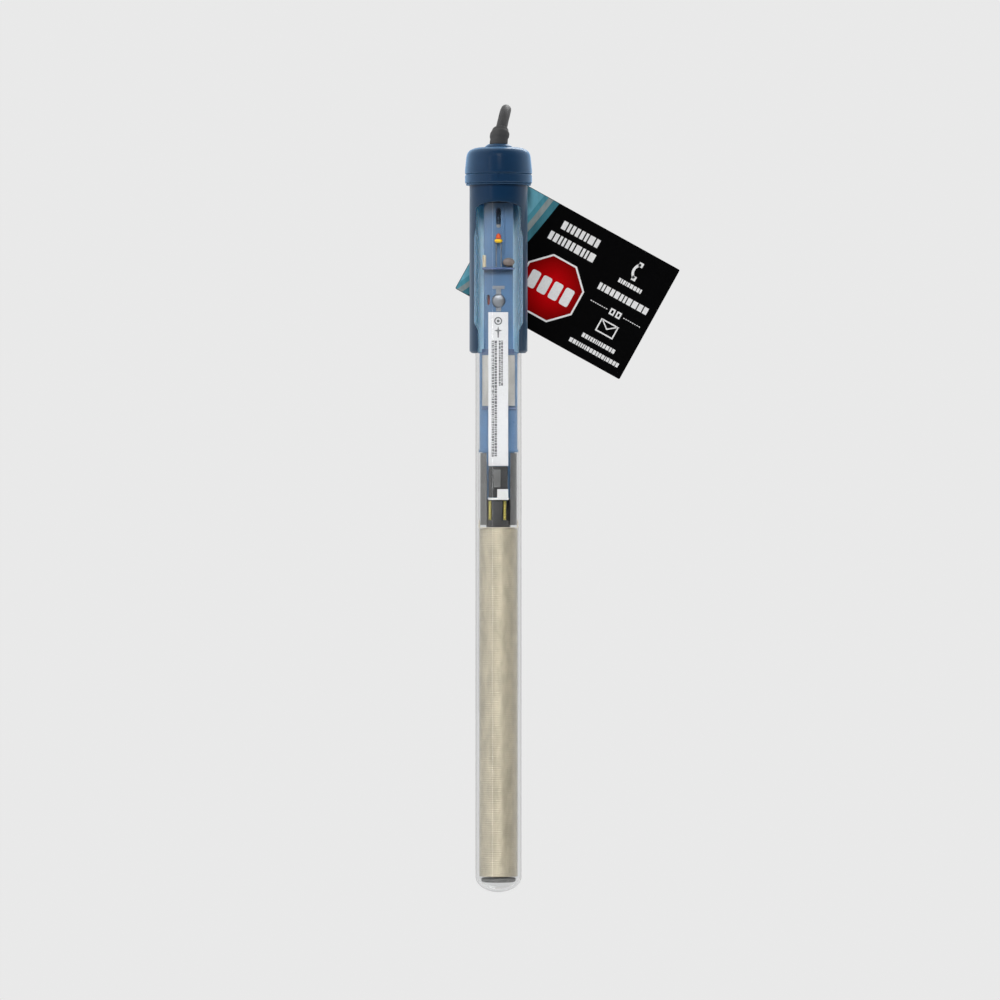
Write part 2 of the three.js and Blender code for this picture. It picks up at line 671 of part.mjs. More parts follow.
// The last stretch hangs from the hank and ends in the plug.
const TAIL_TOP = HANK_LOW - STUB - GAP;
const PLUG_TOP = TAIL_TOP - 16;
const TAIL_ROUTE = [
  [-CORD_PITCH, LEG_Y, TAIL_TOP],
  [-CORD_PITCH + 0.3, LEG_Y, TAIL_TOP - 4],
  [-CORD_PITCH + 1.2, LEG_Y - 0.1, TAIL_TOP - 9],
  [-CORD_PITCH + 2, LEG_Y - 0.2, TAIL_TOP - 13],
  [-CORD_PITCH + 2.3, LEG_Y - 0.2, PLUG_TOP + GAP],
];
const PLUG_X = -CORD_PITCH + 2.3;
const PLUG_Y = LEG_Y - 0.2;

function plugParts() {
  const boot = turned([
    [0, PLUG_TOP - 20], [5.2, PLUG_TOP - 20], [4.9, PLUG_TOP - 14], [4.2, PLUG_TOP - 6],
    [3.6, PLUG_TOP], [0, PLUG_TOP],
  ], 24).translate([PLUG_X, PLUG_Y, 0]);
  place('plug_strain_relief', boot, RUBBER, 0.7);
  const shape = new THREE.Shape();
  const top = PLUG_TOP - 20 - GAP;
  shape.moveTo(-12.5, top - 27);
  shape.lineTo(12.5, top - 27);
  shape.lineTo(12.5, top - 17);
  shape.quadraticCurveTo(11.5, top - 6, 6.5, top);
  shape.lineTo(-6.5, top);
  shape.quadraticCurveTo(-11.5, top - 6, -12.5, top - 17);
  const body = panel(shape, -5.8, 5.8, 6).rotate([0, 0, 90]).translate([PLUG_X, PLUG_Y, 0]);
  place('plug_body', body, BLACK, 0.6);
  const bladeTop = top - 27 - GAP;
  for (const [name, side] of [['plug_blade_front', -1], ['plug_blade_back', 1]]) {
    const y = PLUG_Y + side * 6.35;
    const blade = box([PLUG_X - 3.2, PLUG_X + 3.2], [y - 0.75, y + 0.75], [bladeTop - 16, bladeTop]);
    place(name, blade, BRASS, 0.3, 1);
  }
}

// ---------------------------------------------------------------- assembly
place('glass_tube', glassTube(), 0xdfe6ea, 0.05, 0, 0.35);
place('hood', hood(), NAVY, 0.25, 0, 0.85);
place('adjusting_cap', adjustingCap(), NAVY, 0.25, 0, 0.9);
place('calibration_ring', calibrationRing(), NAVY, 0.25);
const collar = turned([
  [BOSS_R + GAP, CAP_TOP + GAP], [6.9, CAP_TOP + GAP], [6.75, CAP_TOP + 0.7], [5.3, BOSS_TOP + 0.4],
  [BOSS_R + GAP, BOSS_TOP + 0.4], [BOSS_R + GAP, CAP_TOP + GAP],
]);
place('retaining_collar', collar, NAVY, 0.3);
place('bearing_plate', bearingPlate(), 0x26425f, 0.4);
place('ring_gear', ringGear(), WHITE, 0.5);
place('adjusting_spindle', adjustingSpindle(), WHITE, 0.5);
place('spindle_seal', ringOfRubber(0, SPINDLE_Y, 220.6, 1.85, 0.42), BLACK, 0.8);
place('setting_carriage', settingCarriage(), 0xd8d8d0, 0.5);

const stopper = cut(
  turned([
    [3, 209.8], [9.7, 209.8], [10, 211], [10, GLASS_TOP + GAP], [GLASS_R - 0.1, GLASS_TOP + GAP],
    [GLASS_R - 0.1, 219], [3, 219], [3, 209.8],
  ]),
  rod(0, SPINDLE_Y, 1.5, 205, 225),
);
place('rubber_stopper', stopper, 0x1f3348, 0.8);

place('chassis', chassis(), LIGHT_BLUE, 0.35);
const plateSpan = [[-STEEL_PLATE.half, STEEL_PLATE.half], [-2.75, -2.3], [STEEL_PLATE.low, STEEL_PLATE.high]];
place('steel_plate', box(...plateSpan), STEEL, 0.4, 0.8);
plateClips();
place('rivet_strap', rivetStrap(), STEEL, 0.4, 0.8);
place('label_strip', box([-5, 4.8], [-3.4, -3.1], [78, 154.8]), WHITE, 0.7);
place('rivet', rivet(), 0xb9b6b0, 0.35, 1);
place('bimetal_arm', bimetalArm(), 0xb5a68a, 0.35, 0.9);
place('bimetal_base', bimetalBase(), 0x8e8a80, 0.5);
place('moving_contact', button(0, 119, 1.3, 1.8, 2.7), BRASS, 0.3, 1);
place('fixed_contact', fixedContact(), BRASS, 0.3, 1);
place('snap_magnet', box([-2.4, 2.4], [-0.1, 2.3], [106.5, 112.5]), 0x3a3a3c, 0.4, 0.5);

const LIVE_ROUTE = [
  [-1.4, 1.3, 209.2], [-2.2, 1.5, 206.8], [-4.3, 1.5, 203], [-4.6, 1.5, 195], [-4.6, 1.5, 180],
  [-4.8, 1.5, 165], [-4.8, 1.5, 145], [-4.6, 1.3, 128], [-3.2, 1.1, 117],
];
const NEUTRAL_ROUTE = [
  [1.4, 1.3, 209.2], [2.2, 1.5, 206.8], [4.3, 1.5, 203], [4.6, 1.5, 190], [4.8, 1.5, 165],
  [5.2, 1.6, 140], [5.4, 1.6, 110], [5.4, 1.6, 85], [5.2, 2, 70], [3.6, 3.2, 58], [2.6, 3.7, 47.6],
];
place('live_wire', tube(LIVE_ROUTE, 0.75, 8, 20), 0x8a3b34, 0.6);
place('neutral_wire', tube(NEUTRAL_ROUTE, 0.75, 8, 26), 0x3d5a8a, 0.6);

lampParts();
place('heat_shield', heatShield(), 0x8a8a88, 0.5);
fuseParts();
place('ceramic_former', ceramicFormer(), 0xd8cfbd, 0.8);
const windingSleeve = ring(WINDING.inner, WINDING.outer, WINDING.bottom, WINDING.top);
place('heating_winding', windingSleeve, 0xbdb39d, 0.45, 0.5);
place('end_pad', disc(8.6, -129.7, -127.9), 0x6a6a66, 0.8);

place('hang_tag', hangTag(), 0x0a0a0a, 0.6);
const pad = cut(box([-4, 4], [11, TAG.front - GAP], [176, 200]), disc(HOOD_R + GAP, 170, 205));
place('tag_glue_pad', pad, 0xe8e2d0, 0.9);

place('strain_relief', strainRelief(), RUBBER, 0.7);
place('cord', tube(cordRoute(), CORD_R, 10, 34), RUBBER, 0.6);
place('cord_hank', hankSolid(), RUBBER, 0.6);
place('cord_tie', hankTie(), BLACK, 0.7);
place('cord_tail', tube(TAIL_ROUTE, CORD_R, 10, 5), RUBBER, 0.6);
plugParts();

export default heater;
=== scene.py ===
"""Looks for a submersible aquarium heater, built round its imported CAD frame.

Everything is in metres, in the part's own frame: +Z up the heater's axis, the window facing -Y.
MM turns the millimetre sizes below into metres.
"""

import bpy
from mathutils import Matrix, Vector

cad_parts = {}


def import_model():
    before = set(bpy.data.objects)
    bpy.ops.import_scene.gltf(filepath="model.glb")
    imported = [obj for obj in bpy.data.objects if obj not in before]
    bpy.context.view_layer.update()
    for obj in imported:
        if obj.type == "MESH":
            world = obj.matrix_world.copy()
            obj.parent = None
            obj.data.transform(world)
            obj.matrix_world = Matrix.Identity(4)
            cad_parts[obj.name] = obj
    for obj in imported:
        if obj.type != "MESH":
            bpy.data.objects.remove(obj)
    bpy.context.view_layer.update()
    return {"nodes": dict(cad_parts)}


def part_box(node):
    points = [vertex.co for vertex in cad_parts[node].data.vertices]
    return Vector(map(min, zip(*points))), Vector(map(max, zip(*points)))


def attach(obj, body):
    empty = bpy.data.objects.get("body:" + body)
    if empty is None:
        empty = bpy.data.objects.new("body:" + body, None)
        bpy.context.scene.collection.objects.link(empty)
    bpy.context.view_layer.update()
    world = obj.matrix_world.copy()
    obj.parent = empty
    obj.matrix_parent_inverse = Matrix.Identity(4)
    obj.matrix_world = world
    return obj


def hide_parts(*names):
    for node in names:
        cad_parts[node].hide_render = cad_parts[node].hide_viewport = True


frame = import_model()

import math
import random

import bmesh
import bpy
from mathutils import Matrix, Vector

MM = 0.001
ROOT = "heater"
random.seed(7)


# ---------------------------------------------------------------- places read from the frame
def low(node, axis):
    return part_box(node)[0][axis] / MM


def high(node, axis):
    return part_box(node)[1][axis] / MM


def lows(node):
    return tuple(low(node, axis) for axis in range(3))


def highs(node):
    return tuple(high(node, axis) for axis in range(3))


GLASS_R = high("glass_tube", 0)
GLASS_TOP = high("glass_tube", 2)
TIP_Z = low("glass_tube", 2)
GLASS_WALL = 1.2
DOME_DEPTH = 8.0
BORE_R = GLASS_R - GLASS_WALL

HOOD_R = high("hood", 0)
HOOD_INNER_R = 12.0
HOOD_TOP = high("hood", 2)
HOOD_BOTTOM = low("hood", 2)
WINDOW_TOP = HOOD_TOP - 11.2
WINDOW_HALF = {"top": 11.3, "middle": 12.2, "foot": 10.3}

CAP_R = high("adjusting_cap", 0)
CROWN_R = CAP_R - 0.6
CAP_TOP = high("adjusting_cap", 2)
CAP_BOTTOM = high("calibration_ring", 2) + 0.3
RING_LOW = low("calibration_ring", 2)
BOSS_R = 4.4
BOSS_TOP = high("bearing_plate", 2)

WINDING_R = high("heating_winding", 0)
WINDING_TOP = high("heating_winding", 2)
WINDING_BOTTOM = low("heating_winding", 2)

# ---------------------------------------------------------------- camera
VIEW_WIDTH = 0.5                      # metres of the object's plane across the picture
CAMERA_AWAY = 3.0
CAMERA_HEIGHT = 0.061
CAMERA_SIDE = 0.00075

camera_data = bpy.data.cameras.new("camera")
camera_data.sensor_width = 36
camera_data.lens = camera_data.sensor_width * CAMERA_AWAY / VIEW_WIDTH
camera_data.clip_end = 50
camera = bpy.data.objects.new("camera", camera_data)
camera.location = (CAMERA_SIDE, -CAMERA_AWAY, CAMERA_HEIGHT)
camera.rotation_euler = (math.pi / 2, 0, 0)
bpy.context.collection.objects.link(camera)
bpy.context.scene.camera = camera

# ---------------------------------------------------------------- cord route, as the CAD part has it
CORD_R = 2.6
CORD_PITCH = 5.3
HANK_FRONT_Y = 22.4
HANK_Z = 22.0
HANK_HALF_RUN = 46.0
HANK_INNER_R = 15.7
HANK_WAIST = 2.7
HANK_OUTER_R = HANK_INNER_R + CORD_PITCH
HANK_Y = HANK_FRONT_Y + HANK_OUTER_R
LEG_Y = HANK_Y + HANK_OUTER_R
HANK_TOP = HANK_Z + HANK_HALF_RUN
HANK_LOW = HANK_Z - HANK_HALF_RUN
STUB = HANK_OUTER_R + CORD_R + 1
GAP = 0.3


def smoothstep(t):
    t = min(1.0, max(0.0, t))
    return t * t * (3 - 2 * t)


BOOT_BASE = BOSS_TOP + 0.5
BOOT_LENGTH = 7.6
BOOT_LEAN = math.radians(35)          # how far the strain relief curves back
BOOT_SIDE = 0.12
ARCH_STRAIGHT = 3
ARCH_R = 21.2
ARCH_SIDE = 3.3
ARCH_SIDE_START = 0.5
CROSS_TOP = 160                       # the lead crosses to the hank's back run between these heights
LEG_END = HANK_TOP + STUB + GAP
CROSS_END = LEG_END + 6


def bent(x, y, z):
    """A point of the upright strain relief, moved to where the curved one has it."""
    above = max(0.0, z - BOOT_BASE)
    angle = above * BOOT_LEAN / BOOT_LENGTH
    radius = BOOT_LENGTH / BOOT_LEAN
    return (x + above * BOOT_SIDE, radius * (1 - math.cos(angle)) + y * math.cos(angle),
            min(z, BOOT_BASE) + (radius - y) * math.sin(angle))


def lead_route():
    """Out of the strain relief, over the arch, down behind the cap and across to the hank."""
    exit_x, exit_y, exit_z = bent(0, 0, BOOT_BASE + BOOT_LENGTH)

    def out(away):
        return (exit_x + 0.2 * away, exit_y + away * math.sin(BOOT_LEAN), exit_z + away * math.cos(BOOT_LEAN))

    _, start_y, start_z = out(ARCH_STRAIGHT)
    centre_y = start_y + ARCH_R * math.cos(BOOT_LEAN)
    centre_z = start_z - ARCH_R * math.sin(BOOT_LEAN)
    points = [out(0)]
    for degrees in (35, 60, 85, 110, 135, 160, 180):
        angle = math.radians(degrees)
        points.append((ARCH_SIDE_START + ARCH_SIDE * math.sin(angle) ** 2, centre_y - ARCH_R * math.cos(angle),
                       centre_z + ARCH_R * math.sin(angle)))
    drop_y = centre_y + ARCH_R
    points += [(ARCH_SIDE_START, drop_y, z) for z in (215, 195, 175)]
    for i in range(7):
        t = i / 6
        points.append((ARCH_SIDE_START * (1 - t), drop_y + (LEG_Y - drop_y) * smoothstep(t),
                       CROSS_TOP + (CROSS_END - CROSS_TOP) * t))
    return points + [(0, LEG_Y, LEG_END)]


TAIL_TOP = HANK_LOW - STUB - GAP
PLUG_TOP = TAIL_TOP - 16
TAIL_ROUTE = [
    (-CORD_PITCH, LEG_Y, TAIL_TOP),
    (-CORD_PITCH + 0.3, LEG_Y, TAIL_TOP - 4),
    (-CORD_PITCH + 1.2, LEG_Y - 0.1, TAIL_TOP - 9),
    (-CORD_PITCH + 2, LEG_Y - 0.2, TAIL_TOP - 13),
    (-CORD_PITCH + 2.3, LEG_Y - 0.2, PLUG_TOP + GAP),
]


def hank_route():
    """The folded runs of the hank: back and front runs in turn, joined by round folds."""
    a, b, c = 0, CORD_PITCH, -CORD_PITCH
    inner, outer = HANK_INNER_R, HANK_OUTER_R
    # each run: column at its start, column after the fold that follows, fold radius before and after the run
    runs = [
        (a, a, outer, outer), (a, b, outer, outer), (b, b, outer, outer), (b, b, outer, inner),
        (b, a, inner, inner), (a, a, inner, inner), (a, c, inner, inner), (c, c, inner, outer),
        (c, c, outer, outer),
    ]
    points = []
    for index, (column, next_column, start_r, end_r) in enumerate(runs):
        side = 1 if index % 2 == 0 else -1          # back runs go down, front runs go up
        steps = 14
        for i in range(steps + 1):
            t = i / steps
            z = HANK_Z + side * HANK_HALF_RUN * (1 - 2 * t)
            radius = start_r + (end_r - start_r) * smoothstep(t)
            waist = radius - HANK_INNER_R + HANK_WAIST
            along = abs(z - HANK_Z) / HANK_HALF_RUN
            depth = waist + (radius - waist) * (0.5 - 0.5 * math.cos(math.pi * along))
            points.append((column, HANK_Y + side * depth, z))
        if index == len(runs) - 1:
            break
        end_z = HANK_LOW if side > 0 else HANK_TOP
        for i in range(1, 14):
            t = i / 14
            angle = math.pi * t
            x = column + (next_column - column) * smoothstep(t / 0.8)
            y = HANK_Y + side * end_r * math.cos(angle)
            z = end_z - side * end_r * math.sin(angle)
            points.append((x, y, z))
    return points


def spline(points, step):
    """Points every step along a centripetal Catmull-Rom line through the points given."""
    line = [Vector(p) for p in points]
    line = [line[0] * 2 - line[1]] + line + [line[-1] * 2 - line[-2]]
    result = []
    for p0, p1, p2, p3 in zip(line, line[1:], line[2:], line[3:]):
        t1 = math.sqrt((p1 - p0).length)
        t2 = t1 + math.sqrt((p2 - p1).length)
        t3 = t2 + math.sqrt((p3 - p2).length)
        count = max(1, round((p2 - p1).length / step))
        for i in range(count):
            t = t1 + (t2 - t1) * i / count
            a1 = p0 * ((t1 - t) / t1) + p1 * (t / t1)
            a2 = p1 * ((t2 - t) / (t2 - t1)) + p2 * ((t - t1) / (t2 - t1))
            a3 = p2 * ((t3 - t) / (t3 - t2)) + p3 * ((t - t2) / (t3 - t2))
            b1 = a1 * ((t2 - t) / t2) + a2 * (t / t2)
            b2 = a2 * ((t3 - t) / (t3 - t1)) + a3 * ((t - t1) / (t3 - t1))
            result.append(b1 * ((t2 - t) / (t2 - t1)) + b2 * ((t - t1) / (t2 - t1)))
    result.append(line[-2])
    return result


# ---------------------------------------------------------------- materials
def calculated(tree, operation, first, second=None):
    """A Math node's output. Each input is a number or another node's output."""
    node = tree.nodes.new("ShaderNodeMath")
    node.operation = operation
    for slot, value in enumerate((first, second)):
        if isinstance(value, (int, float)):
            node.inputs[slot].default_value = value
        elif value is not None:
            tree.links.new(value, node.inputs[slot])
    return node.outputs[0]


class Shader:
    """A material with one Principled shader and short calls for the nodes that feed it."""

    def __init__(self, name, color, rough, metal=0.0, **sockets):
        self.mat = bpy.data.materials.new(name)
        self.mat.use_nodes = True
        self.nodes = self.mat.node_tree.nodes
        self.links = self.mat.node_tree.links
        self.bsdf = self.nodes["Principled BSDF"]
        self.coords = self.nodes.new("ShaderNodeTexCoord").outputs["Object"]
        self.color = color
        self.set("Base Color", (*color, 1))
        self.set("Roughness", rough)
        self.set("Metallic", metal)
        for key, value in sockets.items():
            self.set(key.replace("_", " "), value)

    def set(self, socket, value):
        self.bsdf.inputs[socket].default_value = value

    def link(self, source, socket):
        self.links.new(source, self.bsdf.inputs[socket])

    def stretched(self, scale):
        node = self.nodes.new("ShaderNodeMapping")
        node.inputs["Scale"].default_value = scale
        self.links.new(self.coords, node.inputs["Vector"])
        return node.outputs["Vector"]

    def noise(self, scale, detail, roughness=0.5, vector=None):
        node = self.nodes.new("ShaderNodeTexNoise")
        node.inputs["Scale"].default_value = scale
        node.inputs["Detail"].default_value = detail
        node.inputs["Roughness"].default_value = roughness
        self.links.new(vector or self.coords, node.inputs["Vector"])
        return node.outputs["Fac"]

    def wave(self, scale, direction, distortion, vector=None):
        node = self.nodes.new("ShaderNodeTexWave")
        node.bands_direction = direction
        node.inputs["Scale"].default_value = scale
        node.inputs["Distortion"].default_value = distortion
        self.links.new(vector or self.coords, node.inputs["Vector"])
        return node.outputs["Fac"]

    def ramp(self, source, stops):
        node = self.nodes.new("ShaderNodeValToRGB")
        while len(node.color_ramp.elements) < len(stops):
            node.color_ramp.elements.new(0.5)
        for element, (position, color) in zip(node.color_ramp.elements, stops):
            element.position = position
            element.color = (*color, 1)
        self.links.new(source, node.inputs["Fac"])
        return node.outputs["Color"]

    def math(self, operation, first, second=None):
        return calculated(self.mat.node_tree, operation, first, second)

    def distance(self, first, second):
        """How far a point is from the origin, by two of its measures."""
        squares = self.math("ADD", self.math("MULTIPLY", first, first), self.math("MULTIPLY", second, second))
        return self.math("SQRT", squares)

    def clamped(self, source, start, span):
        """0 below start, 1 beyond start + span, and even between."""
        node = self.nodes.new("ShaderNodeMapRange")
        node.inputs["From Min"].default_value = start
        node.inputs["From Max"].default_value = start + span
        self.links.new(source, node.inputs["Value"])
        return node.outputs["Result"]

    def blend(self, share, first, second):
        node = self.nodes.new("ShaderNodeMix")
        node.data_type = "RGBA"
        self.links.new(share, node.inputs["Factor"])
        self.links.new(first, node.inputs["A"])
        self.links.new(second, node.inputs["B"])
        return node.outputs["Result"]

    def axis(self, name):
        node = self.nodes.new("ShaderNodeSeparateXYZ")
        self.links.new(self.coords, node.inputs[0])
        return node.outputs[name]

    def mottle(self, source, amount):
        """Varies the base colour a little, lighter and darker."""
        dark = tuple(c * (1 - amount) for c in self.color)
        light = tuple(min(1, c * (1 + amount)) for c in self.color)
        self.link(self.ramp(source, [(0.3, dark), (0.7, light)]), "Base Color")
        return self

    def rough(self, source, least, most):
        node = self.nodes.new("ShaderNodeMapRange")
        node.inputs["To Min"].default_value = least
        node.inputs["To Max"].default_value = most
        self.links.new(source, node.inputs["Value"])
        self.link(node.outputs["Result"], "Roughness")
        return self

    def bump(self, source, depth, strength=1.0):
        node = self.nodes.new("ShaderNodeBump")
        node.inputs["Strength"].default_value = strength
        node.inputs["Distance"].default_value = depth
        self.links.new(source, node.inputs["Height"])
        self.link(node.outputs["Normal"], "Normal")
        return self


def moulded(name, color, rough, grain=900, depth=0.00002, amount=0.08, **sockets):
    """Moulded plastic: faint flow marks in the colour and a very fine grain."""
    shader = Shader(name, color, rough, **sockets)
    flow = shader.noise(60, 3)
    shader.mottle(flow, amount)
    shader.rough(shader.noise(300, 2), rough * 0.8, rough * 1.25)
    return shader.bump(shader.noise(grain, 2), depth)


def metallic(name, color, rough, along="Z"):
    """Worked metal: fine lines along one axis, with uneven polish."""
    shader = Shader(name, color, rough, 1.0)
    stretch = {"X": (20, 900, 900), "Y": (900, 20, 900), "Z": (900, 900, 20)}[along]
    lines = shader.noise(1.0, 3, 0.6, shader.stretched(stretch))
    shader.mottle(shader.noise(120, 3), 0.1)
    shader.rough(lines, rough * 0.7, rough * 1.4)
    return shader.bump(lines, 0.00001)


def glass_material():
    """Clear tube glass; lamps reach what is behind it."""
    shader = Shader("clear_glass", (0.985, 0.992, 0.995), 0.0, IOR=1.47, Transmission_Weight=1.0)
    shader.bump(shader.noise(35, 2), 0.00002, 0.35)
    nodes, links = shader.nodes, shader.links
    clear = nodes.new("ShaderNodeBsdfTransparent")
    clear.inputs["Color"].default_value = (0.98, 0.985, 0.99, 1)
    path = nodes.new("ShaderNodeLightPath")
    mix = nodes.new("ShaderNodeMixShader")
    links.new(path.outputs["Is Shadow Ray"], mix.inputs[0])
    links.new(shader.bsdf.outputs[0], mix.inputs[1])
    links.new(clear.outputs[0], mix.inputs[2])
    links.new(mix.outputs[0], nodes["Material Output"].inputs["Surface"])
    return shader.mat


def hood_material():
    """Blue translucent moulding: navy outside, a little lighter round the back as painted rim light. The pale
    blue on the faces turned to the glass is painted light, standing in for the glow through the thin wall, and
    the inner faces at the neck are painted darker as shade under the window's arch.
    """
    shader = Shader("blue_translucent", (0.03, 0.065, 0.12), 0.2, IOR=1.3, Sheen_Weight=0.3,
                    Sheen_Roughness=0.5, Subsurface_Scale=3 * MM)
    shader.set("Sheen Tint", (0.45, 0.7, 1.0, 1))
    shader.set("Subsurface Radius", (0.8, 1.0, 1.0))
    x, y, z = (shader.axis(k) for k in "XYZ")
    outer = shader.clamped(shader.distance(x, y), (HOOD_INNER_R + 0.35) * MM, 0.5 * MM)
    behind = shader.clamped(y, -4 * MM, 6 * MM)
    # upper marks the neck; on the inner faces there it brings in painted shade under the window's arch
    upper = shader.clamped(z, (WINDOW_TOP - 2) * MM, 5 * MM)
    # behind lessens the navy a little round the back: painted light at the rims
    skin = shader.math("MULTIPLY", outer, shader.math("SUBTRACT", 1, shader.math("MULTIPLY", behind, 0.12)))
    mottled = shader.math("ADD", skin, shader.math("MULTIPLY", shader.noise(90, 2), 0.06))
    # pale is painted light: the glow through the thin translucent wall, on the faces turned to the glass. navy
    # is the moulding's own colour.
    pale, mid, navy = (0.58, 0.79, 1.0), (0.31, 0.52, 0.92), (0.010, 0.032, 0.07)
    glow_and_navy_color = shader.ramp(mottled, [(0.0, pale), (0.4, mid), (1.0, navy)])
    neck_shade_and_navy_color = shader.ramp(mottled, [(0.0, (0.07, 0.13, 0.26)), (1.0, (0.0045, 0.027, 0.072))])
    shader.link(shader.blend(upper, glow_and_navy_color, neck_shade_and_navy_color), "Base Color")
    frosted = shader.math("MULTIPLY", shader.math("MAXIMUM", behind, shader.math("SUBTRACT", 1, outer)),
                          shader.math("SUBTRACT", 1, upper))
    shader.link(shader.math("MULTIPLY", frosted, 0.04), "Transmission Weight")
    shader.link(shader.math("MULTIPLY", frosted, 0.8), "Subsurface Weight")
    polish = shader.math("ADD", 0.16, shader.math("MULTIPLY", shader.noise(200, 2), 0.1))
    shader.link(shader.math("ADD", polish, shader.math("MULTIPLY", frosted, 0.5)), "Roughness")
    return shader.bump(shader.noise(500, 2), 0.00001).mat


def cap_material(name, color):
    """Navy translucent moulding with a polished skin and a light-blue glow at its rims."""
    shader = Shader(name, color, 0.22, IOR=1.33, Transmission_Weight=0.1, Sheen_Weight=1.0,
                    Sheen_Roughness=0.5)
    shader.set("Sheen Tint", (0.3, 0.6, 1.0, 1))
    shader.mottle(shader.noise(70, 3), 0.12)
    shader.rough(shader.noise(260, 2), 0.15, 0.27)
    return shader.bump(shader.noise(700, 2), 0.00001).mat


def winding_material():
    """Close-wound resistance wire with a dull champagne oxide, mottled along its length."""
    shader = Shader("winding_wire", (0.5, 0.445, 0.335), 0.42, 0.45)
    blotch = shader.noise(1, 3, 0.6, shader.stretched((260, 260, 90)))
    shader.mottle(blotch, 0.16)
    shader.rough(shader.noise(1, 2, 0.5, shader.stretched((300, 300, 1500))), 0.3, 0.48)
    return shader.bump(shader.wave(950, "Z", 0.4), 0.00003).mat


def cord_material(name, color):
    shader = Shader(name, color, 0.5, Specular_IOR_Level=0.4)
    shader.mottle(shader.noise(250, 3), 0.1)
    shader.rough(shader.noise(600, 2), 0.42, 0.6)
    return shader.bump(shader.noise(1800, 3), 0.00003).mat


def card_material():
    """Coated black card: faint fibre mottling under a satin varnish."""
    shader = Shader("tag_card", (0.0015, 0.0015, 0.0017), 0.5, Specular_IOR_Level=0.08)
    shader.mottle(shader.noise(700, 4), 0.25)
    shader.rough(shader.noise(1500, 3), 0.36, 0.5)
    return shader.bump(shader.noise(2500, 3), 0.00001).mat


def octagon_material(centre):
    """Red print, brighter in the middle and darker to the edge."""
    shader = Shader("tag_red", (0.55, 0.0, 0.005), 0.45, Specular_IOR_Level=0.1)
    x, z = shader.axis("X"), shader.axis("Z")
    dx = shader.math("SUBTRACT", x, centre[0] * MM)
    dz = shader.math("SUBTRACT", z, centre[1] * MM)
    share = shader.math("MULTIPLY", shader.distance(dx, dz), 1 / (17 * MM))
    grain = shader.math("MULTIPLY", shader.noise(900, 2), 0.05)
    bright, dark = (0.62, 0.0, 0.003), (0.17, 0.0, 0.0)
    color = shader.ramp(shader.math("ADD", share, grain), [(0.1, bright), (1.0, dark)])
    shader.link(color, "Base Color")
    return shader.bump(shader.noise(2500, 3), 0.00001).mat


def fibre(name, color, scale=900, rough=0.8):
    """Felt or glue: uneven colour and a soft broken surface."""
    shader = Shader(name, color, rough)
    shader.mottle(shader.noise(scale * 0.4, 4, 0.7), 0.25)
    return shader.bump(shader.noise(scale, 4, 0.7), 0.00006).mat


def braid(name, color):
    """A woven sleeve: two crossing bands of thread."""
    shader = Shader(name, color, 0.7)
    left = shader.wave(420, "DIAGONAL", 0.6)
    right = shader.wave(420, "DIAGONAL", 0.6, shader.stretched((-1, 1, 1)))
    weave = shader.math("MULTIPLY", left, right)
    dark = tuple(c * 0.25 for c in color)
    shader.link(shader.ramp(weave, [(0.02, dark), (0.35, color)]), "Base Color")
    return shader.bump(weave, 0.0001).mat


def paper(name, color):
    shader = Shader(name, color, 0.55)
    shader.mottle(shader.noise(900, 4, 0.6), 0.03)
    shader.rough(shader.noise(1300, 3), 0.5, 0.65)
    return shader.bump(shader.noise(2400, 3), 0.00001).mat


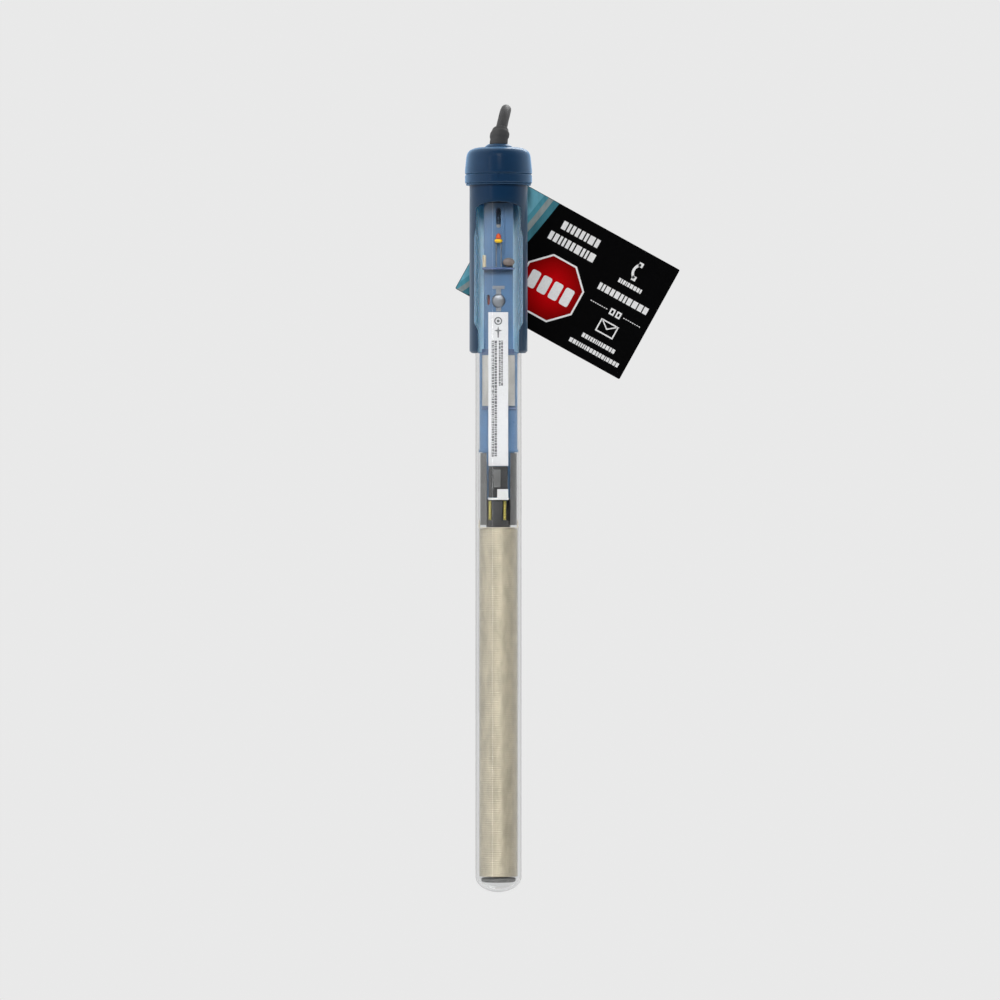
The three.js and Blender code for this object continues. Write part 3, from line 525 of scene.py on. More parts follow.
MATERIALS = {
    "clear_glass": glass_material(),
    "blue_translucent": hood_material(),
    "navy_translucent": cap_material("navy_translucent", (0.0045, 0.027, 0.074)),
    "navy_plastic": moulded("navy_plastic", (0.03, 0.075, 0.15), 0.3).mat,
    "white_plastic": moulded("white_plastic", (0.58, 0.58, 0.57), 0.4, amount=0.04).mat,
    # The spindle's dark blue-grey is painted shade: white plastic as it looks in shadow behind the chassis.
    "spindle_plastic": moulded("spindle_plastic", (0.13, 0.2, 0.3), 0.4).mat,
    "black_rubber": moulded("black_rubber", (0.02, 0.02, 0.021), 0.6, 1500, 0.00004).mat,
    "navy_rubber": moulded("navy_rubber", (0.02, 0.05, 0.1), 0.55, 1500, 0.00004).mat,
    "light_blue_plastic": moulded(
        "light_blue_plastic", (0.078, 0.172, 0.32), 0.3, amount=0.12, Transmission_Weight=0.15
    ).mat,
    "clip_blue": moulded("clip_blue", (0.075, 0.115, 0.21), 0.4).mat,
    "plate_steel": metallic("plate_steel", (0.56, 0.55, 0.52), 0.5).mat,
    "label_paper": paper("label_paper", (0.64, 0.64, 0.645)),
    "rivet_steel": metallic("rivet_steel", (0.40, 0.42, 0.45), 0.42, "X").mat,
    "bimetal": metallic("bimetal", (0.60, 0.50, 0.34), 0.35).mat,
    "grey_ceramic": moulded("grey_ceramic", (0.36, 0.35, 0.32), 0.7, 1200, 0.00005).mat,
    "contact_brass": metallic("contact_brass", (0.76, 0.56, 0.26), 0.25).mat,
    "magnet_black": moulded("magnet_black", (0.03, 0.03, 0.033), 0.6, 1600, 0.00005).mat,
    "live_insulation": moulded("live_insulation", (0.30, 0.06, 0.045), 0.5).mat,
    "neutral_insulation": moulded("neutral_insulation", (0.05, 0.12, 0.3), 0.5).mat,
    "lamp_orange": moulded("lamp_orange", (0.8, 0.12, 0.025), 0.15, Transmission_Weight=0.3).mat,
    "lamp_yellow": moulded("lamp_yellow", (0.85, 0.52, 0.02), 0.25).mat,
    "board_blue": moulded("board_blue", (0.05, 0.09, 0.2), 0.5).mat,
    "resistor_beige": moulded("resistor_beige", (0.52, 0.44, 0.3), 0.5).mat,
    "capacitor_brown": moulded("capacitor_brown", (0.16, 0.13, 0.115), 0.45).mat,
    "shield_grey": moulded("shield_grey", (0.108, 0.108, 0.106), 0.5, 700, 0.00005, 0.15).mat,
    "fuse_black": moulded("fuse_black", (0.035, 0.035, 0.036), 0.38, 1200, 0.00003).mat,
    "lead_yellow": braid("lead_yellow", (0.78, 0.66, 0.16)),
    "former_ceramic": moulded("former_ceramic", (0.66, 0.6, 0.49), 0.8, 1200, 0.00005).mat,
    "winding_wire": winding_material(),
    "pad_grey": fibre("pad_grey", (0.10, 0.10, 0.095)),
    "tag_card": card_material(),
    "glue_pad": fibre("glue_pad", (0.75, 0.7, 0.58), 600, 0.5),
    "cord_rubber": cord_material("cord_rubber", (0.062, 0.062, 0.063)),
    "plug_black": moulded("plug_black", (0.022, 0.022, 0.023), 0.45, 1300, 0.00004).mat,
}


# ---------------------------------------------------------------- mesh helpers
def shaded_smooth(mesh):
    for polygon in mesh.polygons:
        polygon.use_smooth = True
    return mesh


def ease_edges(piece, width, sharp):
    """Rounds every edge that is sharper than the angle, in degrees."""
    soft = piece.modifiers.new("ease", "BEVEL")
    soft.width = width * MM
    soft.segments = 2
    soft.limit_method = "ANGLE"
    soft.angle_limit = math.radians(sharp)


def finished(name, mesh, slot, body=ROOT, replaces=(), sharp=35, material=None):
    """Turns a mesh in metres into a smooth piece that rides on its body."""
    mesh.set_sharp_from_angle(angle=math.radians(sharp))
    piece = bpy.data.objects.new(name, mesh)
    bpy.context.collection.objects.link(piece)
    mesh.materials.append(material or MATERIALS[slot])
    smooth = piece.modifiers.new("smooth", "WEIGHTED_NORMAL")
    smooth.keep_sharp = True
    smooth.weight = 100
    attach(piece, body)
    if replaces:
        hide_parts(*replaces)
    return piece


def mesh_from(name, points, faces):
    mesh = bpy.data.meshes.new(name)
    mesh.from_pydata([Vector(p) * MM for p in points], [], faces)
    mesh.validate()
    made = bmesh.new()
    made.from_mesh(mesh)
    bmesh.ops.remove_doubles(made, verts=made.verts, dist=1e-7)
    bmesh.ops.recalc_face_normals(made, faces=made.faces)
    made.to_mesh(mesh)
    made.free()
    return shaded_smooth(mesh)


def eased(profile, radius, steps=3, closed=True):
    """Rounds the corners of an outline. On an open outline the two ends stay."""
    result = []
    count = len(profile)
    for i, point in enumerate(profile):
        here = Vector(point)
        if not closed and i in (0, count - 1):
            result.append(tuple(here))
            continue
        before = Vector(profile[i - 1]) - here
        after = Vector(profile[(i + 1) % count]) - here
        turn = before.normalized().dot(after.normalized())
        reach = min(radius, before.length * 0.45, after.length * 0.45)
        if turn < -0.96 or reach < 1e-3:
            result.append(tuple(here))
            continue
        start = here + before.normalized() * reach
        end = here + after.normalized() * reach
        for k in range(steps + 1):
            t = k / steps
            result.append(tuple(start * (1 - t) ** 2 + here * 2 * t * (1 - t) + end * t ** 2))
    return result


def turned_mesh(name, profile, segments, centre=(0, 0)):
    """An outline of (radius, height) turned round an upright axis. It closes on itself or ends on the axis."""
    points = []
    faces = []
    rows = []
    on_axis = profile[0][0] < 1e-6
    for radius, z in profile:
        if radius < 1e-6:
            rows.append([len(points)] * segments)
            points.append((centre[0], centre[1], z))
            continue
        rows.append(list(range(len(points), len(points) + segments)))
        for k in range(segments):
            angle = 2 * math.pi * k / segments
            points.append((centre[0] + radius * math.cos(angle), centre[1] + radius * math.sin(angle), z))
    pairs = list(zip(rows, rows[1:]))
    if not on_axis:
        pairs.append((rows[-1], rows[0]))
    for lower, upper in pairs:
        for k in range(segments):
            n = (k + 1) % segments
            face = []
            for corner in (lower[k], lower[n], upper[n], upper[k]):
                if corner not in face:
                    face.append(corner)
            if len(face) > 2:
                faces.append(face)
    return mesh_from(name, points, faces)


def rectangle(x0, x1, z0, z1):
    return [(x0, z0), (x1, z0), (x1, z1), (x0, z1)]


def slab_mesh(name, outline, front, back, ease, steps=2):
    """An outline in the XZ plane thickened from front to back along Y, with its edges rounded."""
    made = bmesh.new()
    corners = [made.verts.new((x * MM, front * MM, z * MM)) for x, z in outline]
    face = made.faces.new(corners)
    pushed = bmesh.ops.extrude_face_region(made, geom=[face])
    moved = [v for v in pushed["geom"] if isinstance(v, bmesh.types.BMVert)]
    bmesh.ops.translate(made, verts=moved, vec=(0, (back - front) * MM, 0))
    bmesh.ops.recalc_face_normals(made, faces=made.faces)
    if ease:
        edges = [e for e in made.edges if len(e.link_faces) == 2 and e.calc_face_angle() > math.radians(30)]
        bmesh.ops.bevel(made, geom=edges, offset=ease * MM, segments=steps, profile=0.5, affect="EDGES")
    mesh = bpy.data.meshes.new(name)
    made.to_mesh(mesh)
    made.free()
    return shaded_smooth(mesh)


def block_mesh(name, near, far, ease):
    (x0, y0, z0), (x1, y1, z1) = near, far
    return slab_mesh(name, rectangle(x0, x1, z0, z1), y0, y1, ease)


def combined(name, meshes):
    """One mesh that holds all the given ones."""
    made = bmesh.new()
    for mesh in meshes:
        made.from_mesh(mesh)
    result = bpy.data.meshes.new(name)
    made.to_mesh(result)
    made.free()
    return shaded_smooth(result)


def carved(name, mesh, cutters, ease=0.0):
    """The mesh with the cutters' shapes taken out, its new edges slightly rounded."""
    base = bpy.data.objects.new(name + "_blank", mesh)
    bpy.context.collection.objects.link(base)
    helpers = []
    for i, cutter_mesh in enumerate(cutters):
        cutter = bpy.data.objects.new(f"{name}_cutter_{i}", cutter_mesh)
        bpy.context.collection.objects.link(cutter)
        helpers.append(cutter)
        cut = base.modifiers.new("cut", "BOOLEAN")
        cut.operation = "DIFFERENCE"
        cut.solver = "EXACT"
        cut.object = cutter
    if ease:
        ease_edges(base, ease, 50)
    bpy.context.view_layer.update()
    graph = bpy.context.evaluated_depsgraph_get()
    result = bpy.data.meshes.new_from_object(base.evaluated_get(graph))
    for helper in helpers + [base]:
        bpy.data.objects.remove(helper)
    result.name = name
    return shaded_smooth(result)


def cord_piece(name, points, radius, slot, replaces):
    """One open spline with a round section."""
    curve = bpy.data.curves.new(name, "CURVE")
    curve.dimensions = "3D"
    curve.bevel_depth = radius * MM
    curve.bevel_resolution = 5
    curve.use_fill_caps = True
    path = curve.splines.new("POLY")
    path.points.add(len(points) - 1)
    for target, point in zip(path.points, points):
        target.co = (point[0] * MM, point[1] * MM, point[2] * MM, 1)
    path.use_smooth = True
    curve.materials.append(MATERIALS[slot])
    piece = bpy.data.objects.new(name, curve)
    bpy.context.collection.objects.link(piece)
    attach(piece, ROOT)
    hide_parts(*replaces)
    return piece


def dressed(node, slot, ease):
    """A CAD node whose shape is right keeps it: its edges are eased and it gets its material."""
    piece = frame["nodes"][node]
    weld = piece.modifiers.new("weld", "WELD")
    weld.merge_threshold = 1e-6
    if ease:
        ease_edges(piece, ease, 35)
    smooth = piece.modifiers.new("smooth", "WEIGHTED_NORMAL")
    smooth.keep_sharp = True
    for place in piece.material_slots:
        place.material = MATERIALS[slot]


# ---------------------------------------------------------------- cord, tie and plug
cord_points = spline(lead_route()[:-1] + hank_route() + TAIL_ROUTE[1:], 2.0)
cord = cord_piece("mains_cord", cord_points, CORD_R, "cord_rubber", ("cord", "cord_hank", "cord_tail"))


def tie_piece():
    """A rubber strap round the hank's waist."""
    deep = HANK_WAIST + CORD_PITCH + CORD_R + 1
    wide = CORD_PITCH + CORD_R + GAP
    bottom, top = low("cord_tie", 2), high("cord_tie", 2)
    thick = 1.0
    inside = eased(rectangle(-wide, wide, -deep, deep), 2.6, 6)
    wide, deep = wide + thick, deep + thick
    outline = eased(rectangle(-wide, wide, -deep, deep), 3.2, 6)
    section = eased([(0, bottom), (1, bottom), (1, top), (0, top)], 0.3, 3)
    points = []
    for share, z in section:
        for (x0, y0), (x1, y1) in zip(inside, outline):
            points.append((x0 + (x1 - x0) * share, HANK_Y + y0 + (y1 - y0) * share, z))
    around, rows = len(outline), len(section)
    faces = []
    for i in range(rows):
        for k in range(around):
            a, b = i * around + k, i * around + (k + 1) % around
            c, d = ((i + 1) % rows) * around + (k + 1) % around, ((i + 1) % rows) * around + k
            faces.append((a, b, c, d))
    strap_mesh = mesh_from("cord_strap", points, faces)
    return finished("cord_strap", strap_mesh, "black_rubber", replaces=("cord_tie",))


def plug_pieces():
    x, y = ((low("plug_body", axis) + high("plug_body", axis)) / 2 for axis in (0, 1))
    top = low("plug_strain_relief", 2) - GAP
    profile = [(2.75, PLUG_TOP), (3.5, PLUG_TOP), (3.7, PLUG_TOP - 2)]
    for i in range(4):
        z = PLUG_TOP - 4 - i * 3.6
        r = 4.0 + i * 0.28
        profile += [(r - 0.7, z), (r - 0.7, z - 1.2), (r + 0.15, z - 1.4), (r + 0.25, z - 3.2)]
    profile += [(5.1, PLUG_TOP - 20), (2.75, PLUG_TOP - 20)]
    relief = turned_mesh("plug_relief", eased(profile, 0.3, 2), 48, (x, y))
    pieces = [finished("plug_relief", relief, "cord_rubber", replaces=("plug_strain_relief",))]
    half = 12.3
    outline = [(-half, top - 27), (half, top - 27), (half, top - 17)]
    for i in range(1, 8):
        t = i / 7
        outline.append(((1 - t) ** 2 * half + 2 * t * (1 - t) * 11.5 + t * t * 6.5,
                        top + (1 - t) ** 2 * -17 + 2 * t * (1 - t) * -6))
    outline += [(-a, b) for a, b in reversed(outline[3:])] + [(-half, top - 17)]
    body = slab_mesh("plug_shell", outline, -5.7, 5.7, 1.6, 4)
    body.transform(Matrix.Translation((x * MM, y * MM, 0)) @ Matrix.Rotation(math.pi / 2, 4, "Z"))
    pieces.append(finished("plug_shell", body, "plug_black", replaces=("plug_body",)))
    for node in ("plug_blade_front", "plug_blade_back"):
        blade = block_mesh(node + "_metal", lows(node), highs(node), 0.35)
        pieces.append(finished(node + "_metal", blade, "contact_brass", replaces=(node,)))
    return pieces


strap = tie_piece()
plug = plug_pieces()


# ---------------------------------------------------------------- glass
def glass_piece():
    def dome(radius, depth):
        arc = []
        steps = 18
        for i in range(steps + 1):
            angle = math.pi / 2 * i / steps
            arc.append((radius * math.sin(angle), TIP_Z + DOME_DEPTH - depth * math.cos(angle)))
        arc[0] = (0, arc[0][1])
        return arc

    lip = [(GLASS_R, GLASS_TOP - 0.5), (GLASS_R - 0.25, GLASS_TOP),
           (BORE_R + 0.25, GLASS_TOP), (BORE_R, GLASS_TOP - 0.5)]
    profile = dome(GLASS_R, DOME_DEPTH) + lip + list(reversed(dome(BORE_R, DOME_DEPTH - GLASS_WALL)))
    tube = turned_mesh("glass", profile, 128)
    finished("glass", tube, "clear_glass", replaces=("glass_tube",), sharp=50)


glass_piece()


# ---------------------------------------------------------------- hood and cap
def window_outline():
    top, middle, foot = (WINDOW_HALF[k] for k in ("top", "middle", "foot"))
    shoulder = WINDOW_TOP - 4
    right = [
        (foot, HOOD_BOTTOM - 5), (foot, HOOD_BOTTOM + 11), (middle, HOOD_BOTTOM + 15),
        (middle, HOOD_BOTTOM + 58), (top, HOOD_BOTTOM + 62),
    ]
    arch = []
    for i in range(25):
        angle = math.pi * i / 24
        arch.append((top * math.cos(angle), shoulder + 4 * math.sin(angle)))
    return right + arch + [(-x, z) for x, z in reversed(right)]


def hood_piece():
    edge = 1.0
    profile = eased([
        (HOOD_INNER_R, HOOD_BOTTOM + edge), (HOOD_INNER_R + edge, HOOD_BOTTOM),
        (HOOD_R - edge, HOOD_BOTTOM), (HOOD_R, HOOD_BOTTOM + edge),
        (HOOD_R, HOOD_TOP), (HOOD_INNER_R, HOOD_TOP),
    ], 0.3, 3)
    blank = turned_mesh("hood_blank", profile, 128)
    window = slab_mesh("window_cutter", window_outline(), -HOOD_R - 5, 0, 0)
    shell = carved("hood_shell", blank, [window], 0.3)
    finished("hood_shell", shell, "blue_translucent", replaces=("hood",), sharp=40)


def cap_piece():
    inner = CAP_R - 1.65
    skirt_in, skirt_out = 14.85, 15.4
    bore = BOSS_R + 0.4
    lip_r = 16.3
    lip_z = RING_LOW - 0.9
    inside = [(bore, CAP_TOP - 2), (inner - 2.2, CAP_TOP - 2), (inner - 0.5, CAP_TOP - 4.4),
              (inner, CAP_BOTTOM + 1.8), (skirt_in, CAP_BOTTOM + 1.8), (skirt_in, lip_z)]
    skirt = [(lip_r, lip_z), (lip_r, RING_LOW - GAP), (skirt_out, RING_LOW - GAP), (skirt_out, CAP_BOTTOM),
             (CAP_R - 0.35, CAP_BOTTOM), (CAP_R, CAP_BOTTOM + 0.4), (CAP_R, CAP_BOTTOM + 2)]
    crown = [(CROWN_R - back, CAP_TOP - down) for back, down in (
        (0, 5), (0.25, 3.6), (0.8, 2.3), (1.8, 1.2), (3.9, 0.3), (5.4, 0))]
    shell = turned_mesh("cap_shell", eased(inside + skirt + crown + [(bore, CAP_TOP)], 0.5, 3), 144)
    finished("cap_shell", shell, "navy_translucent", "cap", ("adjusting_cap",))


def ring_piece():
    inner = 15.7
    top = high("calibration_ring", 2)
    profile = eased([
        (inner, RING_LOW), (CAP_R - 0.3, RING_LOW), (CAP_R, RING_LOW + 0.4), (CAP_R, top - 0.4),
        (CAP_R - 0.3, top), (inner, top),
    ], 0.2, 3)
    blank = turned_mesh("ring_blank", profile, 144)
    notch = block_mesh("notch_cutter", (-0.5, -CAP_R - 1, RING_LOW + 2.2), (0.5, -CAP_R + 0.4, top + 1), 0)
    band = carved("calibration_band", blank, [notch])
    finished("calibration_band", band, "navy_translucent", "calibration_ring", ("calibration_ring",))


def collar_piece():
    low_z, top = CAP_TOP + GAP, high("retaining_collar", 2)
    inner = BOSS_R + GAP
    profile = eased([(inner, low_z), (6.85, low_z), (6.7, low_z + 0.4), (5.25, top), (inner, top)], 0.3)
    collar = turned_mesh("collar", profile, 72)
    finished("collar", collar, "navy_translucent", replaces=("retaining_collar",))


def strain_relief_piece():
    z = BOOT_BASE
    profile = eased([
        (0, z - 14.7), (2.9, z - 14.7), (2.9, z), (4.55, z), (4.45, z + 2.7), (4.85, z + 3.6),
        (4.85, z + 5.4), (4.35, z + 6.2), (4.05, z + BOOT_LENGTH), (2.7, z + BOOT_LENGTH),
        (2.6, z + BOOT_LENGTH - 0.6),
        (0, z + BOOT_LENGTH - 0.6),
    ], 0.3, 3, closed=False)
    fine = []
    for (r0, z0), (r1, z1) in zip(profile, profile[1:]):
        parts = max(1, round((z1 - z0) / 0.5)) if z1 > z else 1
        fine += [(r0 + (r1 - r0) * i / parts, z0 + (z1 - z0) * i / parts) for i in range(parts)]
    mesh = turned_mesh("cord_boot", fine + [profile[-1]], 64)
    for vertex in mesh.vertices:
        vertex.co = Vector(bent(*(vertex.co / MM))) * MM
    finished("cord_boot", mesh, "cord_rubber", replaces=("strain_relief",))


hood_piece()
cap_piece()
ring_piece()
collar_piece()
strain_relief_piece()


# ---------------------------------------------------------------- heating element
def winding_piece():
    """The wire's turns lie side by side, so the sleeve is ribbed all the way down."""
    pitch = 1.1
    turns = int((WINDING_TOP - WINDING_BOTTOM) / pitch)
    profile = [(8.25, WINDING_TOP - 0.1), (8.25, WINDING_BOTTOM + 0.1)]
    step = (WINDING_TOP - WINDING_BOTTOM) / turns
    for i in range(turns):
        z = WINDING_BOTTOM + i * step
        for t, rise in ((0.06, 0.0), (0.3, 0.85), (0.5, 1.0), (0.7, 0.85), (0.94, 0.0)):
            profile.append((WINDING_R - 0.12 + 0.12 * rise, z + step * t))
    mesh = turned_mesh("winding", profile, 72)
    finished("winding", mesh, "winding_wire", replaces=("heating_winding",), sharp=60)


def shield_piece():
    outer, inner, opening = 9.1, 8.3, 5.7
    bottom, top = low("heat_shield", 2), high("heat_shield", 2)
    blank = turned_mesh("shield_blank", eased(rectangle(inner, outer, bottom, top), 0.1), 96)
    cutter = block_mesh("shield_cutter", (-opening, -12, bottom - 2), (opening, 0, top + 2), 0)
    shield = carved("shield", blank, [cutter], 0.12)
    finished("shield", shield, "shield_grey", replaces=("heat_shield",))


def end_pad_piece():
    profile = eased(rectangle(0, 8.6, low("end_pad", 2), high("end_pad", 2)), 0.5, closed=False)
    finished("felt_pad", turned_mesh("felt_pad", profile, 64), "pad_grey", replaces=("end_pad",))


winding_piece()
shield_piece()
end_pad_piece()


# ---------------------------------------------------------------- label and hang tag
def print_mesh(name, shapes, front, lift=0.03):
    """Flat printed shapes, each an outline in the XZ plane, as thin ink on a face that looks to -Y."""
    meshes = [slab_mesh(name, shape, front - lift, front + 0.02, 0) for shape in shapes]
    return combined(name, meshes)


def circle(x, z, radius, steps=24):
    return [(x + radius * math.cos(2 * math.pi * i / steps), z + radius * math.sin(2 * math.pi * i / steps))
            for i in range(steps)]


def ring_shapes(x, z, outer, inner):
    """A flat ring as a row of small four-sided shapes."""
    parts = 24
    outside, inside = circle(x, z, outer, parts), circle(x, z, inner, parts)
    return [[outside[i], outside[(i + 1) % parts], inside[(i + 1) % parts], inside[i]] for i in range(parts)]


INK_GREY = Shader("ink_grey", (0.11, 0.11, 0.115), 0.5)
INK_GREY.mottle(INK_GREY.noise(1800, 3), 0.35)
INK_WHITE = Shader("ink_white", (0.82, 0.82, 0.82), 0.45)
INK_WHITE.mottle(INK_WHITE.noise(1500, 3), 0.06)


def print_line(left, right, top, bottom):
    """A line of small print that runs down the strip, as bars of uneven length."""
    shapes = []
    z = top
    while z > bottom + 0.5:
        end = max(bottom, z - 0.4 - 1.1 * random.random())
        shapes.append(rectangle(left, right, end, z))
        z = end - 0.3
    return shapes


def label_print():
    """Lines of bars in two columns, with a ring and a long-tailed star above them."""
    middle, top = -0.15, high("label_strip", 2)
    ring, star, text = top - 4.4, top - 9.2, top - 14.2
    shapes = ring_shapes(middle, ring, 2.0, 1.35) + [circle(middle, ring, 0.75)]
    points = [(0, 2.2), (0.45, 0.5), (1.9, 0), (0.45, -0.5), (0.3, -3.5),
              (-0.3, -3.5), (-0.45, -0.5), (-1.9, 0), (-0.45, 0.5)]
    shapes.append([(middle + x, star + z) for x, z in points])
    for left in (-3.4, -1.95):
        shapes += print_line(left, left + 1.2, text, text - 58.5)
    for left in (0.15, 1.3):
        shapes += print_line(left, left + 0.9, text, text - 22.5)
    mesh = print_mesh("label_print", shapes, low("label_strip", 1))
    finished("label_print", mesh, "label_paper", material=INK_GREY.mat)


TAG_WIDTH, TAG_HEIGHT = 94.5, 63.0
TAG_CENTRE = tuple((low("hang_tag", axis) + high("hang_tag", axis)) / 2 for axis in (0, 2))
TAG_TILT = math.radians(-29)
TAG_FRONT = low("hang_tag", 1)


def on_tag(x, z):
    """A point on the tag's own face, measured from its centre, as the frame has it."""
    return (TAG_CENTRE[0] + x * math.cos(TAG_TILT) - z * math.sin(TAG_TILT),
            TAG_CENTRE[1] + x * math.sin(TAG_TILT) + z * math.cos(TAG_TILT))


def tag_card():
    """A stiff flat card with slightly rounded corners."""
    half_w, half_h = TAG_WIDTH / 2 - 0.05, TAG_HEIGHT / 2 - 0.05
    outline = eased(rectangle(-half_w, half_w, -half_h, half_h), 0.8, 4)
    shape = [on_tag(x, z) for x, z in outline]
    mesh = slab_mesh("tag_card", shape, TAG_FRONT, TAG_FRONT + 0.5, 0.08, 1)
    finished("tag_card", mesh, "tag_card", replaces=("hang_tag",))


def tag_print(name, shapes, material, lift=0.04):
    mesh = print_mesh(name, [[on_tag(x, z) for x, z in shape] for shape in shapes], TAG_FRONT, lift)
    finished(name, mesh, "tag_card", material=material)


def octagon(x, z, radius):
    """Eight corners, with a flat side up."""
    angles = [math.pi / 8 + math.pi / 4 * i for i in range(8)]
    return [(x + radius * math.cos(angle), z + radius * math.sin(angle)) for angle in angles]


OCTAGON = (-5.5, -8.2)
COLUMN = 29.4                         # the right-hand column's centre line on the tag


def word_bars(left, right, middle, height):
    """A line of print as a row of bars of uneven length, between two ends on the tag."""
    shapes = []
    x = left
    while x < right - 1:
        end = min(right, x + (0.25 + 0.5 * random.random()) * height)
        shapes.append(rectangle(x, end, middle - height / 2, middle + height / 2))
        x = end + 0.17 * height
    return shapes


def handset(x, z):
    """A telephone handset seen from the side: two pads joined by a curved grip."""
    outer, inner = [], []
    for i in range(13):
        angle = math.radians(125 + 110 * i / 12)
        outer.append((x + 3.6 + 5.6 * math.cos(angle), z + 5.4 * math.sin(angle)))
        inner.append((x + 3.6 + 4.3 * math.cos(angle), z + 4.0 * math.sin(angle)))
    grip = outer + list(reversed(inner))
    pads = [rectangle(x - 0.4, x + 1.9, z + 2.6, z + 5.0), rectangle(x - 0.4, x + 1.9, z - 5.0, z - 2.6)]
    return [grip, *pads]


def frame_shapes(x0, x1, z0, z1, line):
    return [rectangle(x0, x1, z0, z0 + line), rectangle(x0, x1, z1 - line, z1),
            rectangle(x0, x0 + line, z0 + line, z1 - line), rectangle(x1 - line, x1, z0 + line, z1 - line)]


def tag_graphics():
    """Plain shapes only: an octagon with four blocks, rows of bars, a handset and an envelope."""
    half_w, half_h = TAG_WIDTH / 2, TAG_HEIGHT / 2
    margin = 0.3
    tag_print("tag_octagon_edge", [octagon(*OCTAGON, 17.3)], INK_WHITE.mat, 0.04)
    tag_print("tag_octagon", [octagon(*OCTAGON, 16.3)], octagon_material(on_tag(*OCTAGON)), 0.07)
    blocks = [rectangle(OCTAGON[0] + x, OCTAGON[0] + x + 4.9, OCTAGON[1] - 4.6, OCTAGON[1] + 4.6)
              for x in (-12.1, -5.7, 0.7, 7.1)]
    tag_print("tag_octagon_blocks", [eased(block, 1.2, 3) for block in blocks], INK_WHITE.mat, 0.1)
    white = word_bars(-15.5, 5.4, 22.9, 4.4) + word_bars(-19, 8, 15.4, 4.4)
    for half, middle, height in ((6.8, 12.3, 2.2), (14.2, 5, 3.6), (9.5, -20.6, 2.2), (14, -25.7, 2.2)):
        white += word_bars(COLUMN - half, COLUMN + half, middle, height)
    for i in range(8):
        for side in (-1, 1):
            start = COLUMN + side * (4.6 + i * 1.25)
            left, right = sorted((start, start + side * 0.8))
            white.append(rectangle(left, right, -3.7, -3.3))
    for left, right in ((-3.1, -0.4), (0.5, 3.1)):
        white += frame_shapes(COLUMN + left, COLUMN + right, -5.2, -1.8, 0.8)
    white += frame_shapes(COLUMN - 5, COLUMN + 5, -15.7, -8.7, 0.7)
    for side in (-1, 1):
        flap = [(COLUMN + side * 4.6, -9.2), (COLUMN, -12.9), (COLUMN, -12.1), (COLUMN + side * 4.1, -8.9)]
        white.append(flap[::side])
    tag_print("tag_print", white + handset(COLUMN - 1.2, 20.3), INK_WHITE.mat)

    def edge_of_band(inset):
        """The swoosh's curved edge, from the card's top edge down to its bottom edge."""
        line = []
        for i in range(21):
            t = i / 20
            width = max(0.0, 25 - inset - 10.5 * t - 7.5 * t ** 3)
            line.append((margin - half_w + width, half_h - margin - t * (TAG_HEIGHT - 2 * margin)))
        return line

    tones = (("tag_teal_dark", (0.05, 0.19, 0.24), 0), ("tag_grey", (0.27, 0.32, 0.32), 3.4),
             ("tag_teal_mid", (0.08, 0.30, 0.38), 6.2), ("tag_teal_light", (0.15, 0.42, 0.52), 8.6))
    for order, (name, color, inset) in enumerate(tones):
        ink = Shader(name, color, 0.42, Specular_IOR_Level=0.2)
        ink.mottle(ink.noise(1, 3, 0.6, ink.stretched((240, 1, 90))), 0.22)
        corner = [(margin - half_w, half_h - margin), (margin - half_w, margin - half_h)]
        tag_print(name, [corner + list(reversed(edge_of_band(inset)))], ink.mat, 0.015 + 0.01 * order)


label_print()
tag_card()
tag_graphics()


# ---------------------------------------------------------------- pieces that keep their CAD shape
# material, how far the edges are eased in mm, and the nodes
for slot, ease, nodes in (
    ("light_blue_plastic", 0.15, "chassis"),
    ("plate_steel", 0.08, "steel_plate"),
    ("label_paper", 0.03, "label_strip"),
    ("clip_blue", 0.2, "plate_clip_upper plate_clip_lower"),
    ("rivet_steel", 0.04, "rivet_strap"),
    ("rivet_steel", 0.08, "rivet"),
    ("bimetal", 0.06, "bimetal_arm"),
    ("grey_ceramic", 0.2, "bimetal_base"),
    ("contact_brass", 0.1, "moving_contact"),
    ("contact_brass", 0.06, "fixed_contact"),
    ("magnet_black", 0.2, "snap_magnet"),
    ("board_blue", 0.1, "lamp_board"),
    ("capacitor_brown", 0, "lamp_capacitor"),
    ("resistor_beige", 0.2, "lamp_resistor"),
    ("lamp_orange", 0, "lamp_bulb"),
    ("lamp_yellow", 0.05, "lamp_base"),
    ("rivet_steel", 0, "lamp_lead_left lamp_lead_right"),
    ("fuse_black", 0.35, "thermal_fuse"),
    ("shield_grey", 0.1, "fuse_bar"),
    ("white_plastic", 0.15, "fuse_clip setting_carriage"),
    ("fuse_black", 0.3, "lead_block"),
    ("lead_yellow", 0, "element_lead_left element_lead_right"),
    ("former_ceramic", 0.1, "ceramic_former"),
    ("navy_plastic", 0.1, "bearing_plate"),
    ("white_plastic", 0.05, "ring_gear"),
    ("spindle_plastic", 0, "adjusting_spindle"),
    ("black_rubber", 0, "spindle_seal"),
    ("navy_rubber", 0.2, "rubber_stopper"),
    ("glue_pad", 0.1, "tag_glue_pad"),
    ("live_insulation", 0, "live_wire"),
    ("neutral_insulation", 0, "neutral_wire"),
):
    for node in nodes.split():
        dressed(node, slot, ease)


# ---------------------------------------------------------------- floor, backdrop and lights
# brightness of the surroundings round the object, by degrees to the right of the camera
STUDIO = ((0.5, 0.06), (30, 0.03), (60, 0.08), (80, 0.35), (100, 0.75), (130, 0.72), (155, 0.62), (205, 0.62),
          (230, 0.72), (265, 0.75), (290, 0.8), (310, 0.75), (330, 0.25), (350, 0.08), (359.5, 0.06))


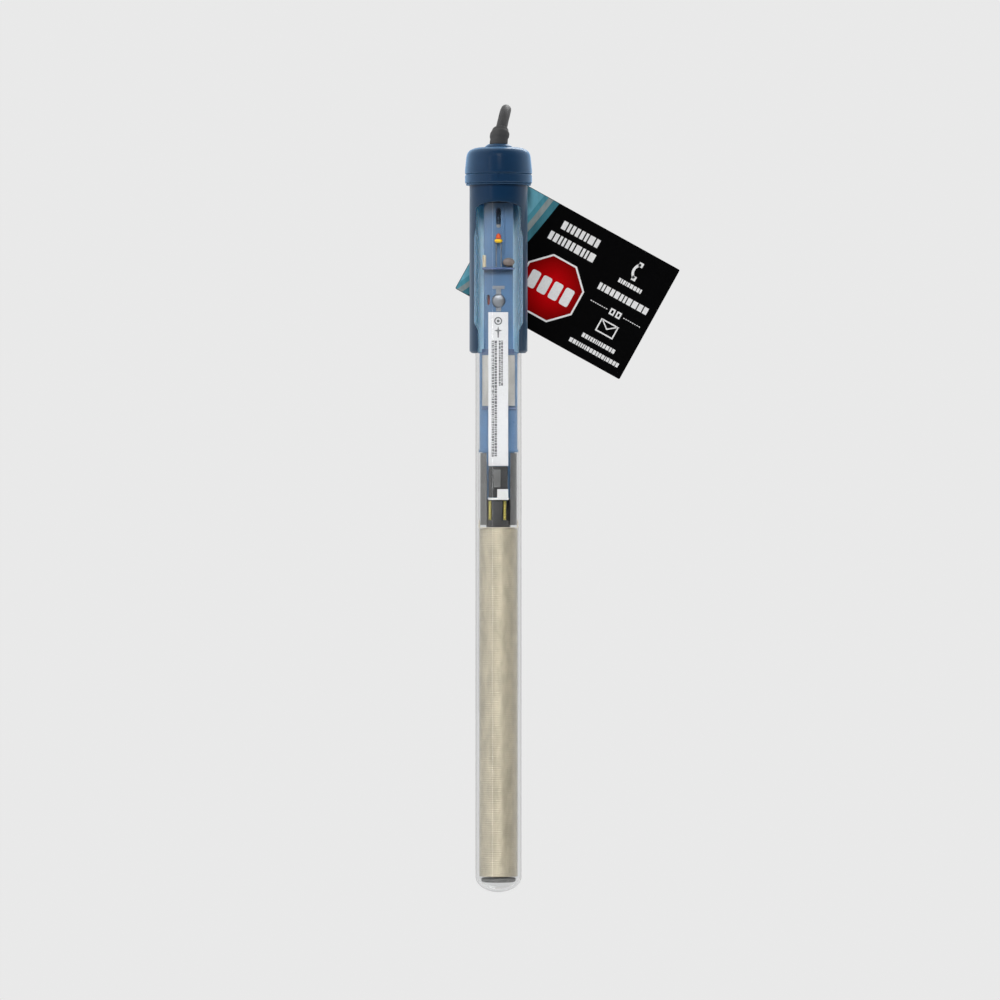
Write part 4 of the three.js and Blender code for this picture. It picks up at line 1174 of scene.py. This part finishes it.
def stage_pieces():
    paper_tone = Shader("floor_paper", (0.80, 0.80, 0.80), 0.9)
    paper_tone.mottle(paper_tone.noise(3, 2), 0.01)
    radius, floor_z = 1.25, -0.30
    rim = [(x, y, floor_z) for x, y in circle(0, 0, radius, 96)]
    mesh = bpy.data.meshes.new("floor")
    mesh.from_pydata(rim, [], [list(range(len(rim)))])
    floor = bpy.data.objects.new("floor", mesh)
    mesh.materials.append(paper_tone.mat)
    bpy.context.collection.objects.link(floor)


def area_light(name, place, target, size, power):
    data = bpy.data.lights.new(name, "AREA")
    data.shape = "RECTANGLE"
    data.size, data.size_y = size
    data.energy = power
    lamp = bpy.data.objects.new(name, data)
    lamp.location = place
    aim = Vector(target) - Vector(place)
    lamp.rotation_euler = aim.to_track_quat("-Z", "Y").to_euler()
    bpy.context.collection.objects.link(lamp)
    return lamp


def world():
    """Plain pale surroundings to the eye. As a light it is a studio, dark in front and soft at the sides."""
    sky = bpy.data.worlds.new("studio")
    bpy.context.scene.world = sky
    sky.use_nodes = True
    tree = sky.node_tree
    nodes, links = tree.nodes, tree.links
    plain = nodes["Background"]
    plain.inputs["Color"].default_value = (0.816, 0.816, 0.816, 1)
    direction = nodes.new("ShaderNodeTexCoord").outputs["Generated"]
    split = nodes.new("ShaderNodeSeparateXYZ")
    links.new(direction, split.inputs[0])
    # azimuth from the camera's side: 0 there, 0.25 to the right, 0.5 behind the object, 0.75 to the left
    away = calculated(tree, "MULTIPLY", split.outputs["Y"], -1)
    around = calculated(tree, "ARCTAN2", split.outputs["X"], away)
    turns = calculated(tree, "MULTIPLY", around, 0.5 / math.pi)
    turn = calculated(tree, "FRACT", calculated(tree, "ADD", turns, 1))
    tones = nodes.new("ShaderNodeValToRGB")
    tones.color_ramp.interpolation = "EASE"
    for degrees, level in STUDIO:
        place = degrees / 360
        element = tones.color_ramp.elements.new(place)
        element.color = (level, level, level, 1)
    tones.color_ramp.elements.remove(tones.color_ramp.elements[0])
    tones.color_ramp.elements.remove(tones.color_ramp.elements[-1])
    links.new(turn, tones.inputs[0])
    studio = nodes.new("ShaderNodeBackground")
    links.new(tones.outputs["Color"], studio.inputs["Color"])
    path = nodes.new("ShaderNodeLightPath")
    mix = nodes.new("ShaderNodeMixShader")
    links.new(path.outputs["Is Camera Ray"], mix.inputs[0])
    links.new(studio.outputs[0], mix.inputs[1])
    links.new(plain.outputs[0], mix.inputs[2])
    links.new(mix.outputs[0], nodes["World Output"].inputs["Surface"])


stage_pieces()
world()
key = area_light("key", (-0.9, -2.2, 1.5), (0, 0, 0.08), (1.0, 1.0), 9)
front = area_light("front", (0.15, -2.7, 1.5), (0, 0, 0.06), (0.6, 1.0), 42)
for lamp in (key, front):
    lamp.visible_glossy = False
area_light("strip", (-1.15, -1.9, 0.25), (0, 0, 0.06), (0.1, 1.5), 1.2)
area_light("back", (0.5, 1.6, 1.3), (0, 0, 0.05), (0.9, 0.9), 9)
bpy.context.scene.view_settings.view_transform = "Standard"
bpy.context.scene.view_settings.look = "None"
